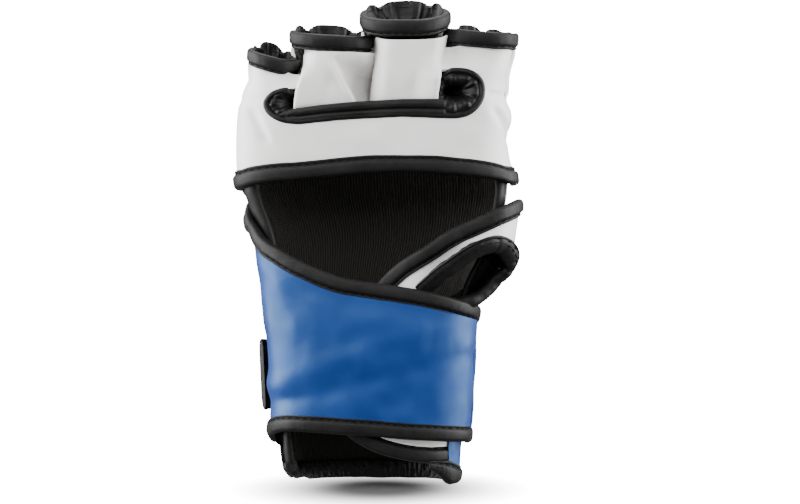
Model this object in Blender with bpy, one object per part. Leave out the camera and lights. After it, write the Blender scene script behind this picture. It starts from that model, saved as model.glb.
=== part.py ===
# Open-palm MMA glove for the right hand, standing on its cuff, as an assembly of its cut and sewn pieces.
# Frame: +Z up the fingers, palm side faces -Y, thumb side at +X, origin on the ground under the middle of the glove.
# The hand cavity is a lofted super-ellipse; every layer (lining, foam, leather, binding) is a patch of it at its own
# distance outwards. Each finger stall is a second, smaller lofted tube. Figures are in millimetres until they are built.

import math

import bmesh
import bpy

for old in list(bpy.data.objects):
    bpy.data.objects.remove(old)

MM = 0.001
SHIFT = (0.58, -0.54, 0.0)  # moves the whole glove so that the middle of its box is over the origin

# ---------------------------------------------------------------- driving dimensions (mm)
SECTION_POWER = 2.6
GAP = 0.45  # between touching layers
LEATHER = 1.5
LINING = 1.1
KNUCKLE_FOAM = 11.0
BACK_FOAM = 8.0
CUFF_FOAM = 4.5
SIDE_FOAM = 3.4
BINDING_W = 7.2
HEM_H = 8.0
KNUCKLE_Z = 181.0
AXIS_Y = -9.5

# height, ulnar side x, radial side x, palm side y, back side y of the hand cavity
CAVITY = [
    (-6, -39.0, 35.5, -16.5, 22.5),
    (0, -39.5, 36.0, -17, 22.5),
    (15, -41.0, 37.5, -18, 22),
    (30, -43.5, 39.0, -19, 21),
    (60, -46.0, 41.5, -20, 19),
    (85, -48.5, 45.0, -19, 18),
    (105, -51.5, 50.0, -18, 18),
    (125, -55.0, 55.5, -17.5, 18),
    (140, -58.5, 58.0, -18, 18),
    (160, -59.5, 57.0, -18.5, 18),
    (178, -58.5, 56.5, -18, 17),
    (192, -56.5, 55.5, -17, 16),
]

# finger stalls: centre of the tube at its root and at its rim (x, y, z), half width and half depth there,
# how far the rim is rolled in the palm plane and leaned towards the palm (degrees)
FINGERS = {
    "little": dict(root=(-51.2, -1.0, 178), rim=(-50.9, -5.0, 203.5), w=(8.7, 8.9), h=(10.6, 10.0), roll=13, lean=12),
    "ring": dict(root=(-22.2, -1.5, 178), rim=(-22.5, -5.0, 212.0), w=(13.2, 14.1), h=(12.3, 11.5), roll=3, lean=8),
    "middle": dict(root=(13.6, -1.5, 179), rim=(14.0, -7.0, 222.0), w=(13.6, 16.2), h=(12.6, 12.5), roll=-1, lean=17),
    "index": dict(root=(48.0, -1.0, 181), rim=(50.2, -4.5, 214.0), w=(11.8, 13.2), h=(11.3, 10.5), roll=4, lean=4),
}
PAD_FOAM = {"little": 7.0, "ring": 8.5, "middle": 9.0, "index": 8.0}


# ---------------------------------------------------------------- geometry helpers
def table(rows, z):
    """Smooth (Catmull-Rom) reading of a table whose first column is z."""
    if z <= rows[0][0]:
        return rows[0][1:]
    if z >= rows[-1][0]:
        return rows[-1][1:]
    i = max(k for k in range(len(rows) - 1) if rows[k][0] <= z)
    p0, p1 = rows[max(i - 1, 0)], rows[i]
    p2, p3 = rows[i + 1], rows[min(i + 2, len(rows) - 1)]
    h = p2[0] - p1[0]
    t = (z - p1[0]) / h
    out = []
    for c in range(1, len(p1)):
        m1 = (p2[c] - p0[c]) / (p2[0] - p0[0]) * h
        m2 = (p3[c] - p1[c]) / (p3[0] - p1[0]) * h
        t2, t3 = t * t, t * t * t
        out.append((2 * t3 - 3 * t2 + 1) * p1[c] + (t3 - 2 * t2 + t) * m1 + (-2 * t3 + 3 * t2) * p2[c] + (t3 - t2) * m2)
    return out


def curve(points, x):
    """Height of an edge line at x, from its (x, z) points."""
    return table(points, x)[0]


def power(value, exponent):
    return math.copysign(abs(value) ** exponent, value)


def smooth(x, lo, hi):
    t = min(1.0, max(0.0, (x - lo) / (hi - lo)))
    return t * t * (3 - 2 * t)


def hand(u, z, d):
    """Point of the hand form: u in degrees (0 thumb side, 90 back, 180 little-finger side, -90 palm), d outwards."""
    xl, xr, yf, yb = table(CAVITY, z)
    a, b = (xr - xl) / 2 + d, (yb - yf) / 2 + d
    r = math.radians(u)
    e = 2 / SECTION_POWER
    return ((xr + xl) / 2 + a * power(math.cos(r), e), (yb + yf) / 2 + b * power(math.sin(r), e), z)


def palm_u(x, z, d):
    """The angle on the palm half whose point at distance d lies at x."""
    xl, xr, _, _ = table(CAVITY, z)
    q = (x - (xr + xl) / 2) / ((xr - xl) / 2 + d)
    q = min(0.999, max(-0.999, q))
    return -math.degrees(math.acos(power(q, SECTION_POWER / 2)))


def side(u):
    """0 over the middle of palm or back, 1 at the two sides."""
    return abs(math.cos(math.radians(u))) ** 1.5


def finger(name, u, t, d, push=0.0):
    """Point of a finger stall: t from 0 at its root to 1 at its rim, push further out on the back."""
    f = FINGERS[name]
    c = [f["root"][k] + (f["rim"][k] - f["root"][k]) * t for k in range(3)]
    roll, lean = math.radians(f["roll"] * t), math.radians(f["lean"] * t)
    w = f["w"][0] + (f["w"][1] - f["w"][0]) * t + d
    h = f["h"][0] + (f["h"][1] - f["h"][0]) * t + d
    r = math.radians(u)
    e = 2 / 2.3
    x, y = w * power(math.cos(r), e), h * power(math.sin(r), e) + push * max(0.0, math.sin(r))
    return (c[0] + x * math.cos(roll), c[1] + y * math.cos(lean), c[2] - x * math.sin(roll) + y * math.sin(lean))


MATERIALS = {
    "white_leather": ((0.80, 0.79, 0.77), 0.42),
    "blue_leather": ((0.012, 0.115, 0.42), 0.38),
    "black_leather": ((0.025, 0.025, 0.025), 0.45),
    "black_lining": ((0.014, 0.014, 0.012), 0.85),
    "foam": ((0.08, 0.08, 0.085), 0.9),
    "hook_loop": ((0.018, 0.018, 0.018), 0.95),
}


def material(slot):
    found = bpy.data.materials.get(slot)
    if found:
        return found
    made = bpy.data.materials.new(slot)
    made.use_nodes = True
    shader = made.node_tree.nodes["Principled BSDF"]
    colour, rough = MATERIALS[slot]
    shader.inputs["Base Color"].default_value = (*colour, 1)
    shader.inputs["Roughness"].default_value = rough
    shader.inputs["Metallic"].default_value = 0.0
    return made


def new_object(name, bm, slot):
    bmesh.ops.recalc_face_normals(bm, faces=bm.faces)
    if bm.calc_volume(signed=True) < 0:
        bmesh.ops.reverse_faces(bm, faces=bm.faces)
    mesh = bpy.data.meshes.new(name)
    bm.to_mesh(mesh)
    bm.free()
    mesh.shade_smooth()
    mesh.set_sharp_from_angle(angle=math.radians(40))
    obj = bpy.data.objects.new(name, mesh)
    bpy.context.scene.collection.objects.link(obj)
    mesh.materials.append(material(slot))
    return obj


def slab(name, place, nu, nv, slot, ring=False):
    """A closed solid between two sheets: place(s, t, k) gives its inner (k 0) and outer (k 1) skin for s, t in 0..1.
    With ring the sheet closes on itself along s."""
    bm = bmesh.new()
    cols = nu if ring else nu + 1
    grid = [
        [[bm.verts.new([(v + o) * MM for v, o in zip(place(i / nu, j / nv, k), SHIFT)]) for j in range(nv + 1)] for i in range(cols)]
        for k in (0, 1)
    ]
    for i in range(nu):
        n = (i + 1) % cols
        for j in range(nv):
            for k in (0, 1):
                bm.faces.new((grid[k][i][j], grid[k][n][j], grid[k][n][j + 1], grid[k][i][j + 1]))
        for j in (0, nv):
            bm.faces.new((grid[0][i][j], grid[0][n][j], grid[1][n][j], grid[1][i][j]))
    if not ring:
        for i in (0, nu):
            for j in range(nv):
                bm.faces.new((grid[0][i][j], grid[0][i][j + 1], grid[1][i][j + 1], grid[1][i][j]))
    return new_object(name, bm, slot)


def mix(a, b, t):
    return a + (b - a) * t


def hand_slab(name, u0, u1, z0, z1, d0, d1, nu, nv, slot):
    """A patch of the hand form. Each limit is a number or a function: u of z, z of u, d of (u, z)."""

    def value(limit, *at):
        return limit(*at) if callable(limit) else limit

    def place(s, t, k):
        zm = mix(value(z0, -90.0), value(z1, -90.0), t)
        u = mix(value(u0, zm), value(u1, zm), s)
        z = mix(value(z0, u), value(z1, u), t)
        u = mix(value(u0, z), value(u1, z), s)
        return hand(u, z, value(d1 if k else d0, u, z))

    return slab(name, place, nu, nv, slot)


# ---------------------------------------------------------------- foam thickness over the back of the glove
def foam(u, z):
    """Padding thickness: thick over the knuckles, thinner on the back of the hand and the cuff, thin at the sides."""
    up = math.sin(math.radians(u))
    over = (max(0.0, up - 0.10) / 0.9) ** 1.2
    knuckle = smooth(z, 136, 145) * (1 - smooth(z, 168, 178) * 0.35)
    back = smooth(z, 83, 92) * (1 - smooth(z, 127, 136))
    mid = CUFF_FOAM * (1 - smooth(z, 74, 83)) + 2.6 * smooth(z, 74, 83)
    mid += (BACK_FOAM - 2.6) * back + (KNUCKLE_FOAM - 2.6) * knuckle
    edge = SIDE_FOAM * (1 - 0.45 * smooth(-up, 0.15, 0.7))
    return edge + (max(mid, SIDE_FOAM) - SIDE_FOAM) * over


def shell_in(u, z):
    return foam(u, z) + GAP


def shell_out(u, z):
    return foam(u, z) + GAP + LEATHER


# ---------------------------------------------------------------- hand: lining, foam, shells (body "hand")
EDGE_L, EDGE_R = 187.0, -7.0  # where the back's edges end on the palm half

hand_slab("back_lining", EDGE_R, EDGE_L, HEM_H + 0.4, 175.5, 0.0, LINING, 18, 14, "black_lining")
hand_slab("knuckle_foam", 14, 166, 146.5, 166.5, LINING + GAP, lambda u, z: foam(u, z) - 0.3, 14, 4, "foam")
hand_slab("hand_back_foam", 14, 166, 92.5, 126.5, LINING + GAP, lambda u, z: foam(u, z) - 0.3, 14, 5, "foam")
hand_slab("cuff_foam", 14, 166, HEM_H + 3, 73.5, LINING + GAP, lambda u, z: foam(u, z) - 0.3, 14, 5, "foam")
hand_slab("back_shell", -4, 184, 84.2, 176.5, shell_in, shell_out, 24, 20, "white_leather")
hand_slab("cuff_shell", lambda z: palm_u(mix(36.2, 41.0, smooth(z, 14, 80)), z, 5.0), 184, HEM_H + 0.4, 83.7, shell_in, shell_out, 22, 9, "blue_leather")
hand_slab("back_panel", 60, 120, 94, 125, lambda u, z: shell_out(u, z) + 0.6, lambda u, z: shell_out(u, z) + 1.8, 8, 6, "blue_leather")
hand_slab("loop_patch", 46, 138, 26, 70, lambda u, z: shell_out(u, z) + 0.5, lambda u, z: shell_out(u, z) + 1.4, 12, 3, "hook_loop")

# bound edges of the back, seen inside the palm opening
hand_slab("ulnar_edge_binding", EDGE_L + 0.8, lambda z: EDGE_L + 12 + 6 * smooth(z, 40, 10), 13.0, 152.0, -0.6, 4.7, 2, 16, "black_leather")
hand_slab("radial_edge_binding", -19, EDGE_R - 0.8, 104.0, 152.0, -0.6, 4.7, 2, 8, "black_leather")


def hem_low(u):
    return 5.0 * smooth(u, 188, 199) + 0.0 * u


hand_slab("cuff_hem", lambda z: palm_u(29.0, max(z, 0.0), 2.0), 199, hem_low, HEM_H, -0.7, lambda u, z: shell_out(u, 12) + 0.4, 24, 2, "black_leather")


# ---------------------------------------------------------------- palm band
def across(u):
    """0 at the middle of the palm, 1 at the sides, 2 at the middle of the back."""
    c = abs(math.cos(math.radians(u)))
    q = c ** (2 / SECTION_POWER)
    return q if math.sin(math.radians(u)) <= 0 else 2 - q


def band_low(u):
    q = across(u)
    return 147.4 - 8.0 * min(q, 1.0) ** 2.2 - 6 * max(0.0, q - 1)


SIDE_OUT = SIDE_FOAM + GAP + LEATHER


def band_in(u, z):
    return mix(1.4, SIDE_OUT + 2 * GAP + LINING, side(u) ** 1.3)


SLOT_LOW = [(-58, 177), (-52.5, 176.0), (-49, 173.5), (-44, 171.4), (-36, 170.4), (-24, 171.6), (-8, 172.9), (10, 173.6), (24, 173.4), (37, 173.2), (43, 174.8), (47, 178), (50.6, 183), (56, 184.5)]
CREASE_L, CREASE_R = 176.6, 183.2  # height of the flex crease on the little-finger and index side


def band_top(u, z=176):
    x = hand(u, z, 3.0)[0]
    if math.sin(math.radians(u)) > 0 or x < -52.5 or x > 50.6:
        return (CREASE_L if x < 0 else CREASE_R) - 1.6
    return min(curve(SLOT_LOW, x), CREASE_L - 1.6 if x < 0 else CREASE_R - 1.6)


hand_slab("palm_band", -189, 9, lambda u: band_low(u) + BINDING_W + 0.4, band_top, lambda u, z: band_in(u, z), lambda u, z: band_in(u, z) + LEATHER, 30, 4, "white_leather")
hand_slab("palm_band_lining", -176, -4, lambda u: band_low(u) + BINDING_W + 0.4, band_top, lambda u, z: band_in(u, z) - LINING - GAP + 0.05, lambda u, z: band_in(u, z) - GAP, 30, 4, "black_lining")
hand_slab("palm_band_binding", -189, 9, band_low, lambda u: band_low(u) + BINDING_W, lambda u, z: mix(-0.7, SIDE_OUT + 0.6, side(u) ** 1.3), lambda u, z: band_in(u, z) + LEATHER + 0.7, 30, 1, "black_leather")


# grip bar: the padded roll along the lower side of the finger slot
def bar(s, t, k):
    x = mix(-50.6, 48.4, s)
    z0 = curve(SLOT_LOW, x) + 0.4
    z1 = z0 + mix(2.6, 7.8, smooth(x, -51, -44) * (1 - smooth(x, 30, 47)))
    z = mix(z0, z1, t)
    bulge = 1.3 * math.sin(math.pi * t)
    return hand(palm_u(x, z, 3.0), z, (3.3 + bulge) if k else (1.2 - 0.4 * bulge))


slab("grip_bar", bar, 26, 4, "black_leather")


# ---------------------------------------------------------------- finger stalls (bodies "little_finger" ... "index_finger")
RIM_T = 0.78  # the binding starts here
ROOT_T = 0.17  # the pad's root stays clear of the knuckles when the stall tips back


def pad_push(name, t):
    return PAD_FOAM[name] * (0.55 + 0.45 * smooth(t, 0.1, 0.35)) * (1 - 0.75 * smooth(t, 0.50, 0.80))


def finger_slab(name, part, u0, u1, t0, t1, d0, d1, nu, nv, slot, push0=0.0, push1=0.0, ring=False):
    """A patch of a finger stall. Both t limits may be functions of u; each push is a share of the pad's thickness."""

    def place(s, t, k):
        u = mix(u0, u1, s)
        low = t0(u) if callable(t0) else t0
        tt = mix(low, t1, t)
        return finger(name, u, tt, d1 if k else d0, (push1 if k else push0) * pad_push(name, tt))

    return slab(name + "_" + part, place, nu, nv, slot, ring)


for f in FINGERS:
    top_t = RIM_T - 0.02
    finger_slab(f, "finger_lining", 14, 166, ROOT_T, top_t, 0.0, 1.0, 10, 3, "black_lining")
    finger_slab(f, "finger_foam", 30, 150, ROOT_T + 0.05, top_t - 0.05, 1.4, 1.75, 10, 6, "foam", 0.0, 1.0)
    finger_slab(f, "finger_pad", 18, 162, ROOT_T, top_t, 2.2, 3.4, 14, 8, "white_leather", 1.0, 1.0)
    finger_slab(f, "finger_binding", 0, 360, RIM_T, 1.0, -0.7, 2.3, 20, 1, "black_leather", ring=True)
for f in ("ring", "middle"):
    finger_slab(f, "finger_loop", -170, -10, 0.125, RIM_T - 0.02, -0.2, 1.3, 8, 5, "white_leather")


def index_low(u):
    x = finger("index", u, 0.3, 1.0)[0]
    z = 197.5 if x < 39 else mix(197.5, CREASE_R + 2.0, smooth(x, 39, 51))
    return (z - 181) / 33.0


def little_low(u):
    x = finger("little", u, 0.3, 1.0)[0]
    z = 188.0 if x > -44 else mix(CREASE_L + 4.2, 188.0, smooth(x, -53, -44))
    return (z - 178) / 25.5


finger_slab("index", "finger_front", -172, 12, index_low, RIM_T - 0.02, 0.0, LEATHER, 14, 4, "white_leather")
finger_slab("little", "finger_front", -192, -8, little_low, RIM_T - 0.02, 0.0, LEATHER, 14, 4, "white_leather")

# ---------------------------------------------------------------- thumb loop (body "thumb")
THUMB_TOP = [(3.5, 98.0), (11, 103.5), (25, 113.5), (39, 121.5), (53, 127.8), (60, 130.6), (66.5, 134.0)]  # upper edge of the binding
THUMB_RIM = [(17, 95.0), (22, 99.5), (30, 107.5), (40, 114.6), (50, 118.9), (57, 119.6), (63, 117.0)]  # edge of the panel at the thumb hole


def thumb_d(x):
    return mix(6.4, 7.8, smooth(x, 40, 60))


def thumb_band(z_low, z_high, d0, d1, x0, x1):
    def place(s, t, k):
        x = mix(x0, x1, s)
        z = mix(z_low(x), z_high(x), t)
        return hand(palm_u(x, z, thumb_d(x)), z, thumb_d(x) + (d1 if k else d0))

    return place


slab("thumb_panel_binding", thumb_band(lambda x: curve(THUMB_TOP, x) - 7.4, lambda x: curve(THUMB_TOP, x), -1.2, 2.0, 8.6, 62.0), 14, 1, "black_leather")
slab("thumb_panel", thumb_band(lambda x: max(curve(THUMB_RIM, max(x, 17)) - 0.3, 94.6), lambda x: curve(THUMB_TOP, x) - 7.8, -0.3, 1.2, 12.0, 61.0), 12, 1, "white_leather")

THUMB_RING = [(26, -27, 99.0), (33, -29.3, 104.4), (41, -30.0, 109.4), (50, -28.6, 113.4), (57, -24.5, 114.2), (62.2, -18, 110.6), (62.8, -12, 104.8), (59.8, -9.5, 98.4), (53.5, -10.5, 93.9), (45, -14.5, 92.2), (36, -19.5, 93.2), (28.5, -23.5, 95.2)]
THUMB_RING_R = 3.6


def closed_spline(points, steps):
    """Points of the smooth closed curve through the given ones."""
    out = []
    n = len(points)
    for i in range(n):
        p0, p1, p2, p3 = (points[(i + k - 1) % n] for k in range(4))
        for j in range(steps):
            t = j / steps
            out.append([0.5 * (2 * b + (c - a) * t + (2 * a - 5 * b + 4 * c - d) * t * t + (3 * b - a - 3 * c + d) * t**3) for a, b, c, d in zip(p0, p1, p2, p3)])
    return out


def loop_tube(name, points, radius, sides, slot):
    """A closed tube round a closed path."""
    from mathutils import Vector

    n = len(points)
    middle = sum((Vector(p) for p in points), Vector()) / n
    path = [Vector(p) for p in points]

    def place(s, t, k):
        i = int(round(s * n)) % n
        along = (path[(i + 1) % n] - path[i - 1]).normalized()
        out = path[i] - middle
        out = (out - along * out.dot(along)).normalized()
        up = along.cross(out)
        a = 2 * math.pi * t
        p = path[i] + (out * math.cos(a) + up * math.sin(a)) * radius
        return tuple(p)

    bm = bmesh.new()
    rings = [[bm.verts.new([(v + o) * MM for v, o in zip(place(i / n, j / sides, 0), SHIFT)]) for j in range(sides)] for i in range(n)]
    for i in range(n):
        for j in range(sides):
            bm.faces.new((rings[i][j], rings[(i + 1) % n][j], rings[(i + 1) % n][(j + 1) % sides], rings[i][(j + 1) % sides]))
    return new_object(name, bm, slot)


loop_tube("thumb_ring", closed_spline(THUMB_RING, 3), THUMB_RING_R, 8, "black_leather")

# ---------------------------------------------------------------- strap over the palm side (body "strap") and its tail
STRAP_TOP = [(-62, 127), (-57, 121.5), (-53.5, 116.5), (-45, 111), (-36, 105.8), (-26.5, 101.5), (-17, 98.2), (-8, 96.2), (11, 93.2), (25, 90.8), (39, 87.6), (50, 84.6)]
STRAP_LOW = [(-60, 21.0), (-52, 23.0), (-47, 25.2), (-40, 26.3), (-17, 25.4), (11, 23.3), (34, 21.6), (50, 20.0)]


def strap_d(u, z):
    return mix(3.9, SIDE_FOAM + GAP + LEATHER + 1.0, side(u))


def strap_slab(name, x0, x1, low, high, d0, d1, nu, nv, slot):
    """A patch of the strap between the x limits, which may be angles past the sides."""

    def place(s, t, k):
        u = mix(x0, x1, s)
        z = 60.0
        for _ in range(5):
            x = hand(u, z, 6.0)[0]
            z = mix(low(x), high(x), t)
        return hand(u, z, strap_d(u, z) + (d1 if k else d0))

    return slab(name, place, nu, nv, slot)


def top(x):
    return curve(STRAP_TOP, x)


def low(x):
    return curve(STRAP_LOW, x)


S0, S1 = -177.0, -3.0
strap_slab("strap_shell", S0, S1, lambda x: low(x) + 7.6, lambda x: top(x) - 7.4, 1.5, 3.0, 24, 6, "blue_leather")
strap_slab("strap_lining", S0, S1, lambda x: low(x) + 7.6, lambda x: top(x) - 7.4, 0.0, 1.1, 24, 4, "black_lining")
strap_slab("strap_upper_binding", S0, S1, lambda x: top(x) - 7.0, top, -0.4, 3.7, 24, 1, "black_leather")
strap_slab("strap_lower_binding", S0, S1, low, lambda x: low(x) + 7.2, -0.4, 3.7, 24, 1, "black_leather")
def tail_d(u, z):
    return mix(SIDE_FOAM + GAP + LEATHER + 1.4, CUFF_FOAM + 2 * GAP + LEATHER + 3.1, smooth(u, 0, 50)) + 0.8 * smooth(u, 120, 152)


def tail_end(u):
    """Half the tail's height: it narrows and ends in a round tip."""
    q = max(0.0, (u - 118) / 47.0)
    return mix(29.5, 22.0, smooth(u, 5, 110)) * math.sqrt(max(0.05, 1 - q**2.6))


TAIL_MID = 51.0
hand_slab("tail_shell", 2.5, 139, lambda u: TAIL_MID - tail_end(u) + 6.2, lambda u: TAIL_MID + tail_end(u) - 6.2, lambda u, z: tail_d(u, 0) + 1.5, lambda u, z: tail_d(u, 0) + 3.0, 18, 3, "blue_leather")
hand_slab("tail_lining", 2.5, 139, lambda u: TAIL_MID - tail_end(u) + 6.2, lambda u: TAIL_MID + tail_end(u) - 6.2, lambda u, z: tail_d(u, 0) + 0.0, lambda u, z: tail_d(u, 0) + 1.1, 18, 2, "black_lining")
hand_slab("tail_upper_binding", 2.5, 139, lambda u: TAIL_MID + tail_end(u) - 5.8, lambda u: TAIL_MID + tail_end(u), lambda u, z: tail_d(u, 0) - 0.3, lambda u, z: tail_d(u, 0) + 3.6, 18, 1, "black_leather")
hand_slab("tail_lower_binding", 2.5, 139, lambda u: TAIL_MID - tail_end(u), lambda u: TAIL_MID - tail_end(u) + 5.8, lambda u, z: tail_d(u, 0) - 0.3, lambda u, z: tail_d(u, 0) + 3.6, 18, 1, "black_leather")
hand_slab("hook_patch", 58, 130, 31, 67, lambda u, z: tail_d(u, 0) - 1.3, lambda u, z: tail_d(u, 0) - GAP, 8, 2, "hook_loop")
hand_slab("tail_pull_tab", 139.8, 153, lambda u: TAIL_MID - tail_end(u) - 0.3, lambda u: TAIL_MID + tail_end(u) + 0.3, lambda u, z: tail_d(u, 0) - 0.3, lambda u, z: tail_d(u, 0) + 3.6, 4, 3, "black_leather")

# ---------------------------------------------------------------- thumb-side flap under the strap (body "cuff_flap")
FLAP_ROOT_X, FLAP_MID_Z, FLAP_LONG, FLAP_HALF, FLAP_BOUND = 33.4, 46.8, 57.6, 35.6, 8.0


def flap_rim(s, t, k):
    """The flap's bound edge: half an oval, its outer line at t 0 and the inner one at t 1."""
    a = math.radians(mix(-88, 86, s))
    e = 2 / 2.2
    x = FLAP_ROOT_X - (FLAP_LONG - FLAP_BOUND * t) * abs(math.cos(a)) ** e
    z = FLAP_MID_Z + (FLAP_HALF - FLAP_BOUND * t) * power(math.sin(a), e)
    return hand(palm_u(x, z, 2.0), z, 3.15 if k else 0.1)


def flap_fill(d0, d1):
    def place(s, t, k):
        q = mix(-1, 1, t)
        z = FLAP_MID_Z + q * (FLAP_HALF - FLAP_BOUND - 0.4)
        left = FLAP_ROOT_X - (FLAP_LONG - FLAP_BOUND - 0.5) * (1 - abs(q) ** 2.2 * 0.98) ** (1 / 2.2)
        x = mix(min(left, 27.0), FLAP_ROOT_X, s)
        return hand(palm_u(x, z, 2.0), z, d1 if k else d0)

    return place


slab("flap_shell", flap_fill(1.9, 3.1), 8, 10, "white_leather")
slab("flap_lining", flap_fill(0.4, 1.4), 8, 10, "black_lining")
slab("flap_binding", flap_rim, 24, 1, "black_leather")

bpy.context.view_layer.update()
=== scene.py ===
import math

import bmesh
import bpy
import numpy as np
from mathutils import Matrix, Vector
from mathutils.geometry import delaunay_2d_cdt


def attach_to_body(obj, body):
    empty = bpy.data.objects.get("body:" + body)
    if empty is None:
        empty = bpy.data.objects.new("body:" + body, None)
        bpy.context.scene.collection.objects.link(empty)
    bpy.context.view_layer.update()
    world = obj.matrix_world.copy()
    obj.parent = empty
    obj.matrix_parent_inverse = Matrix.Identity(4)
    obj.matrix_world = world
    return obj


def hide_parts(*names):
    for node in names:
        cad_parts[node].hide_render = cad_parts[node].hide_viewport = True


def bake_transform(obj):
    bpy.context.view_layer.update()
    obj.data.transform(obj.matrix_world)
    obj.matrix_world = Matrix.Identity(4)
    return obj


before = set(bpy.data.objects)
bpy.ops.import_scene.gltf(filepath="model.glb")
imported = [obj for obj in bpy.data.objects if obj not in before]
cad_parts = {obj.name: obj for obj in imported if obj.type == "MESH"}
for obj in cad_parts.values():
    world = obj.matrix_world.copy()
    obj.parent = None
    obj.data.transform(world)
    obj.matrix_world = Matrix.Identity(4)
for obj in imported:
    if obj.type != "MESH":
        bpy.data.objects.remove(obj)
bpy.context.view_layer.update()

MM = 0.001
SHIFT = np.array([0.58, -0.54, 0.0])
POWER = 2.6
RNG = np.random.RandomState(7)

CAVITY = np.array([
    (-6, -33.0, 31.5, -16.0, 22.5), (0, -35.5, 33.0, -16.6, 22.5), (3.5, -37.4, 34.0, -17, 22.4), (7.5, -39.2, 34.4, -17.4, 22.2), (15, -40.4, 34.6, -18, 22), (24, -41.2, 35.3, -18.6, 21.5),
    (36, -41.8, 36.6, -19.2, 20.7), (60, -42.9, 37.7, -20, 19), (73, -43.6, 38.4, -19.6, 18.6), (84, -44.8, 39.4, -19, 18.2), (95, -46.2, 42.5, -18.5, 18), (105, -47.8, 47.6, -18, 18), (115, -49.4, 52.3, -17.8, 18),
    (125, -52.6, 55.5, -17.5, 18), (132, -55.7, 57.0, -17.7, 18), (140, -58.5, 58.0, -18, 18), (160, -59.5, 57.0, -18.5, 18), (178, -58.5, 56.5, -18, 17), (192, -56.5, 55.5, -17, 16), (215, -55.5, 56.5, -16.5, 14),
], float)
FINGERS = {
    "little": dict(root=(-50.6, -1.0, 178), rim=(-48.9, -5.0, 203.6), w=(9.3, 10.6), h=(10.6, 10.0), roll=13, lean=12.5),
    "ring": dict(root=(-22.2, -1.5, 178), rim=(-21.8, -5.0, 213.2), w=(13.4, 17.8), h=(12.3, 11.5), roll=3.4, lean=9),
    "middle": dict(root=(13.6, -1.5, 179), rim=(13.2, -7.0, 222.8), w=(13.8, 19.4), h=(12.6, 12.4), roll=-1, lean=21),
    "index": dict(root=(48.4, -1.0, 181), rim=(49.4, -3.8, 214.2), w=(12.6, 15.5), h=(11.3, 10.3), roll=4.5, lean=4.5),
}


# ------------------------------------------------------------------ numbers
def tab(rows, z):
    """Smooth reading of a table whose first column is z, for an array of z."""
    rows = np.asarray(rows, float)
    z = np.clip(np.asarray(z, float), rows[0, 0], rows[-1, 0])
    i = np.clip(np.searchsorted(rows[:, 0], z, side="right") - 1, 0, len(rows) - 2)
    i0, i3 = np.maximum(i - 1, 0), np.minimum(i + 2, len(rows) - 1)
    p0, p1, p2, p3 = rows[i0], rows[i], rows[i + 1], rows[i3]
    h = (p2[..., 0] - p1[..., 0])[..., None]
    t = ((z - p1[..., 0]) / h[..., 0])[..., None]
    m1 = (p2 - p0) / (p2[..., :1] - p0[..., :1]) * h
    m2 = (p3 - p1) / (p3[..., :1] - p1[..., :1]) * h
    t2, t3 = t * t, t * t * t
    out = (2 * t3 - 3 * t2 + 1) * p1 + (t3 - 2 * t2 + t) * m1 + (-2 * t3 + 3 * t2) * p2 + (t3 - t2) * m2
    return out[..., 1:]


def line(points, x):
    """Height of an edge line at x. Points are (x, z), x rising."""
    return tab(points, x)[..., 0]


def px(*points):
    """Edge points given as (column, row) of a 0.47 mm chart, as x, z in mm."""
    return [((a - 376.5) * 0.47, (486 - b) * 0.47) for a, b in points]


def smooth(x, lo, hi):
    t = np.clip((np.asarray(x, float) - lo) / (hi - lo), 0, 1)
    return t * t * (3 - 2 * t)


def mix(a, b, t):
    return a + (b - a) * t


def spow(v, e):
    return np.sign(v) * np.abs(v) ** e


_LATTICE = RNG.rand(64, 64)


def noise(x, y, seed=0):
    """Smooth value noise, -1 to 1, one cell to a unit."""
    x = np.asarray(x, float) + 17.3 * seed + 200
    y = np.asarray(y, float) + 9.7 * seed + 200
    xi, yi = np.floor(x).astype(int), np.floor(y).astype(int)
    fx, fy = x - xi, y - yi
    fx, fy = fx * fx * (3 - 2 * fx), fy * fy * (3 - 2 * fy)
    g = lambda a, b: _LATTICE[a % 64, b % 64]
    return 2 * ((g(xi, yi) * (1 - fx) + g(xi + 1, yi) * fx) * (1 - fy) + (g(xi, yi + 1) * (1 - fx) + g(xi + 1, yi + 1) * fx) * fy) - 1


def hand(u, z, d):
    """Points of the hand form. u in degrees (0 thumb side, 90 back, 180 little finger side, -90 palm)."""
    u, z, d = np.broadcast_arrays(np.asarray(u, float), np.asarray(z, float), np.asarray(d, float))
    c = tab(CAVITY, z)
    xl, xr, yf, yb = (c[..., k] for k in range(4))
    r = np.radians(u)
    e = 2 / POWER
    return np.stack([(xr + xl) / 2 + ((xr - xl) / 2 + d) * spow(np.cos(r), e), (yb + yf) / 2 + ((yb - yf) / 2 + d) * spow(np.sin(r), e), z], -1)


def palm_u(x, z, d):
    c = tab(CAVITY, z)
    q = (np.asarray(x, float) - (c[..., 1] + c[..., 0]) / 2) / ((c[..., 1] - c[..., 0]) / 2 + d)
    q = np.clip(q, -0.9995, 0.9995)
    return -np.degrees(np.arccos(np.clip(spow(q, POWER / 2), -1, 1)))


def palm(x, z, d):
    return hand(palm_u(x, z, d), z, d)


def side(u):
    return np.abs(np.cos(np.radians(u))) ** 1.5


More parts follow.
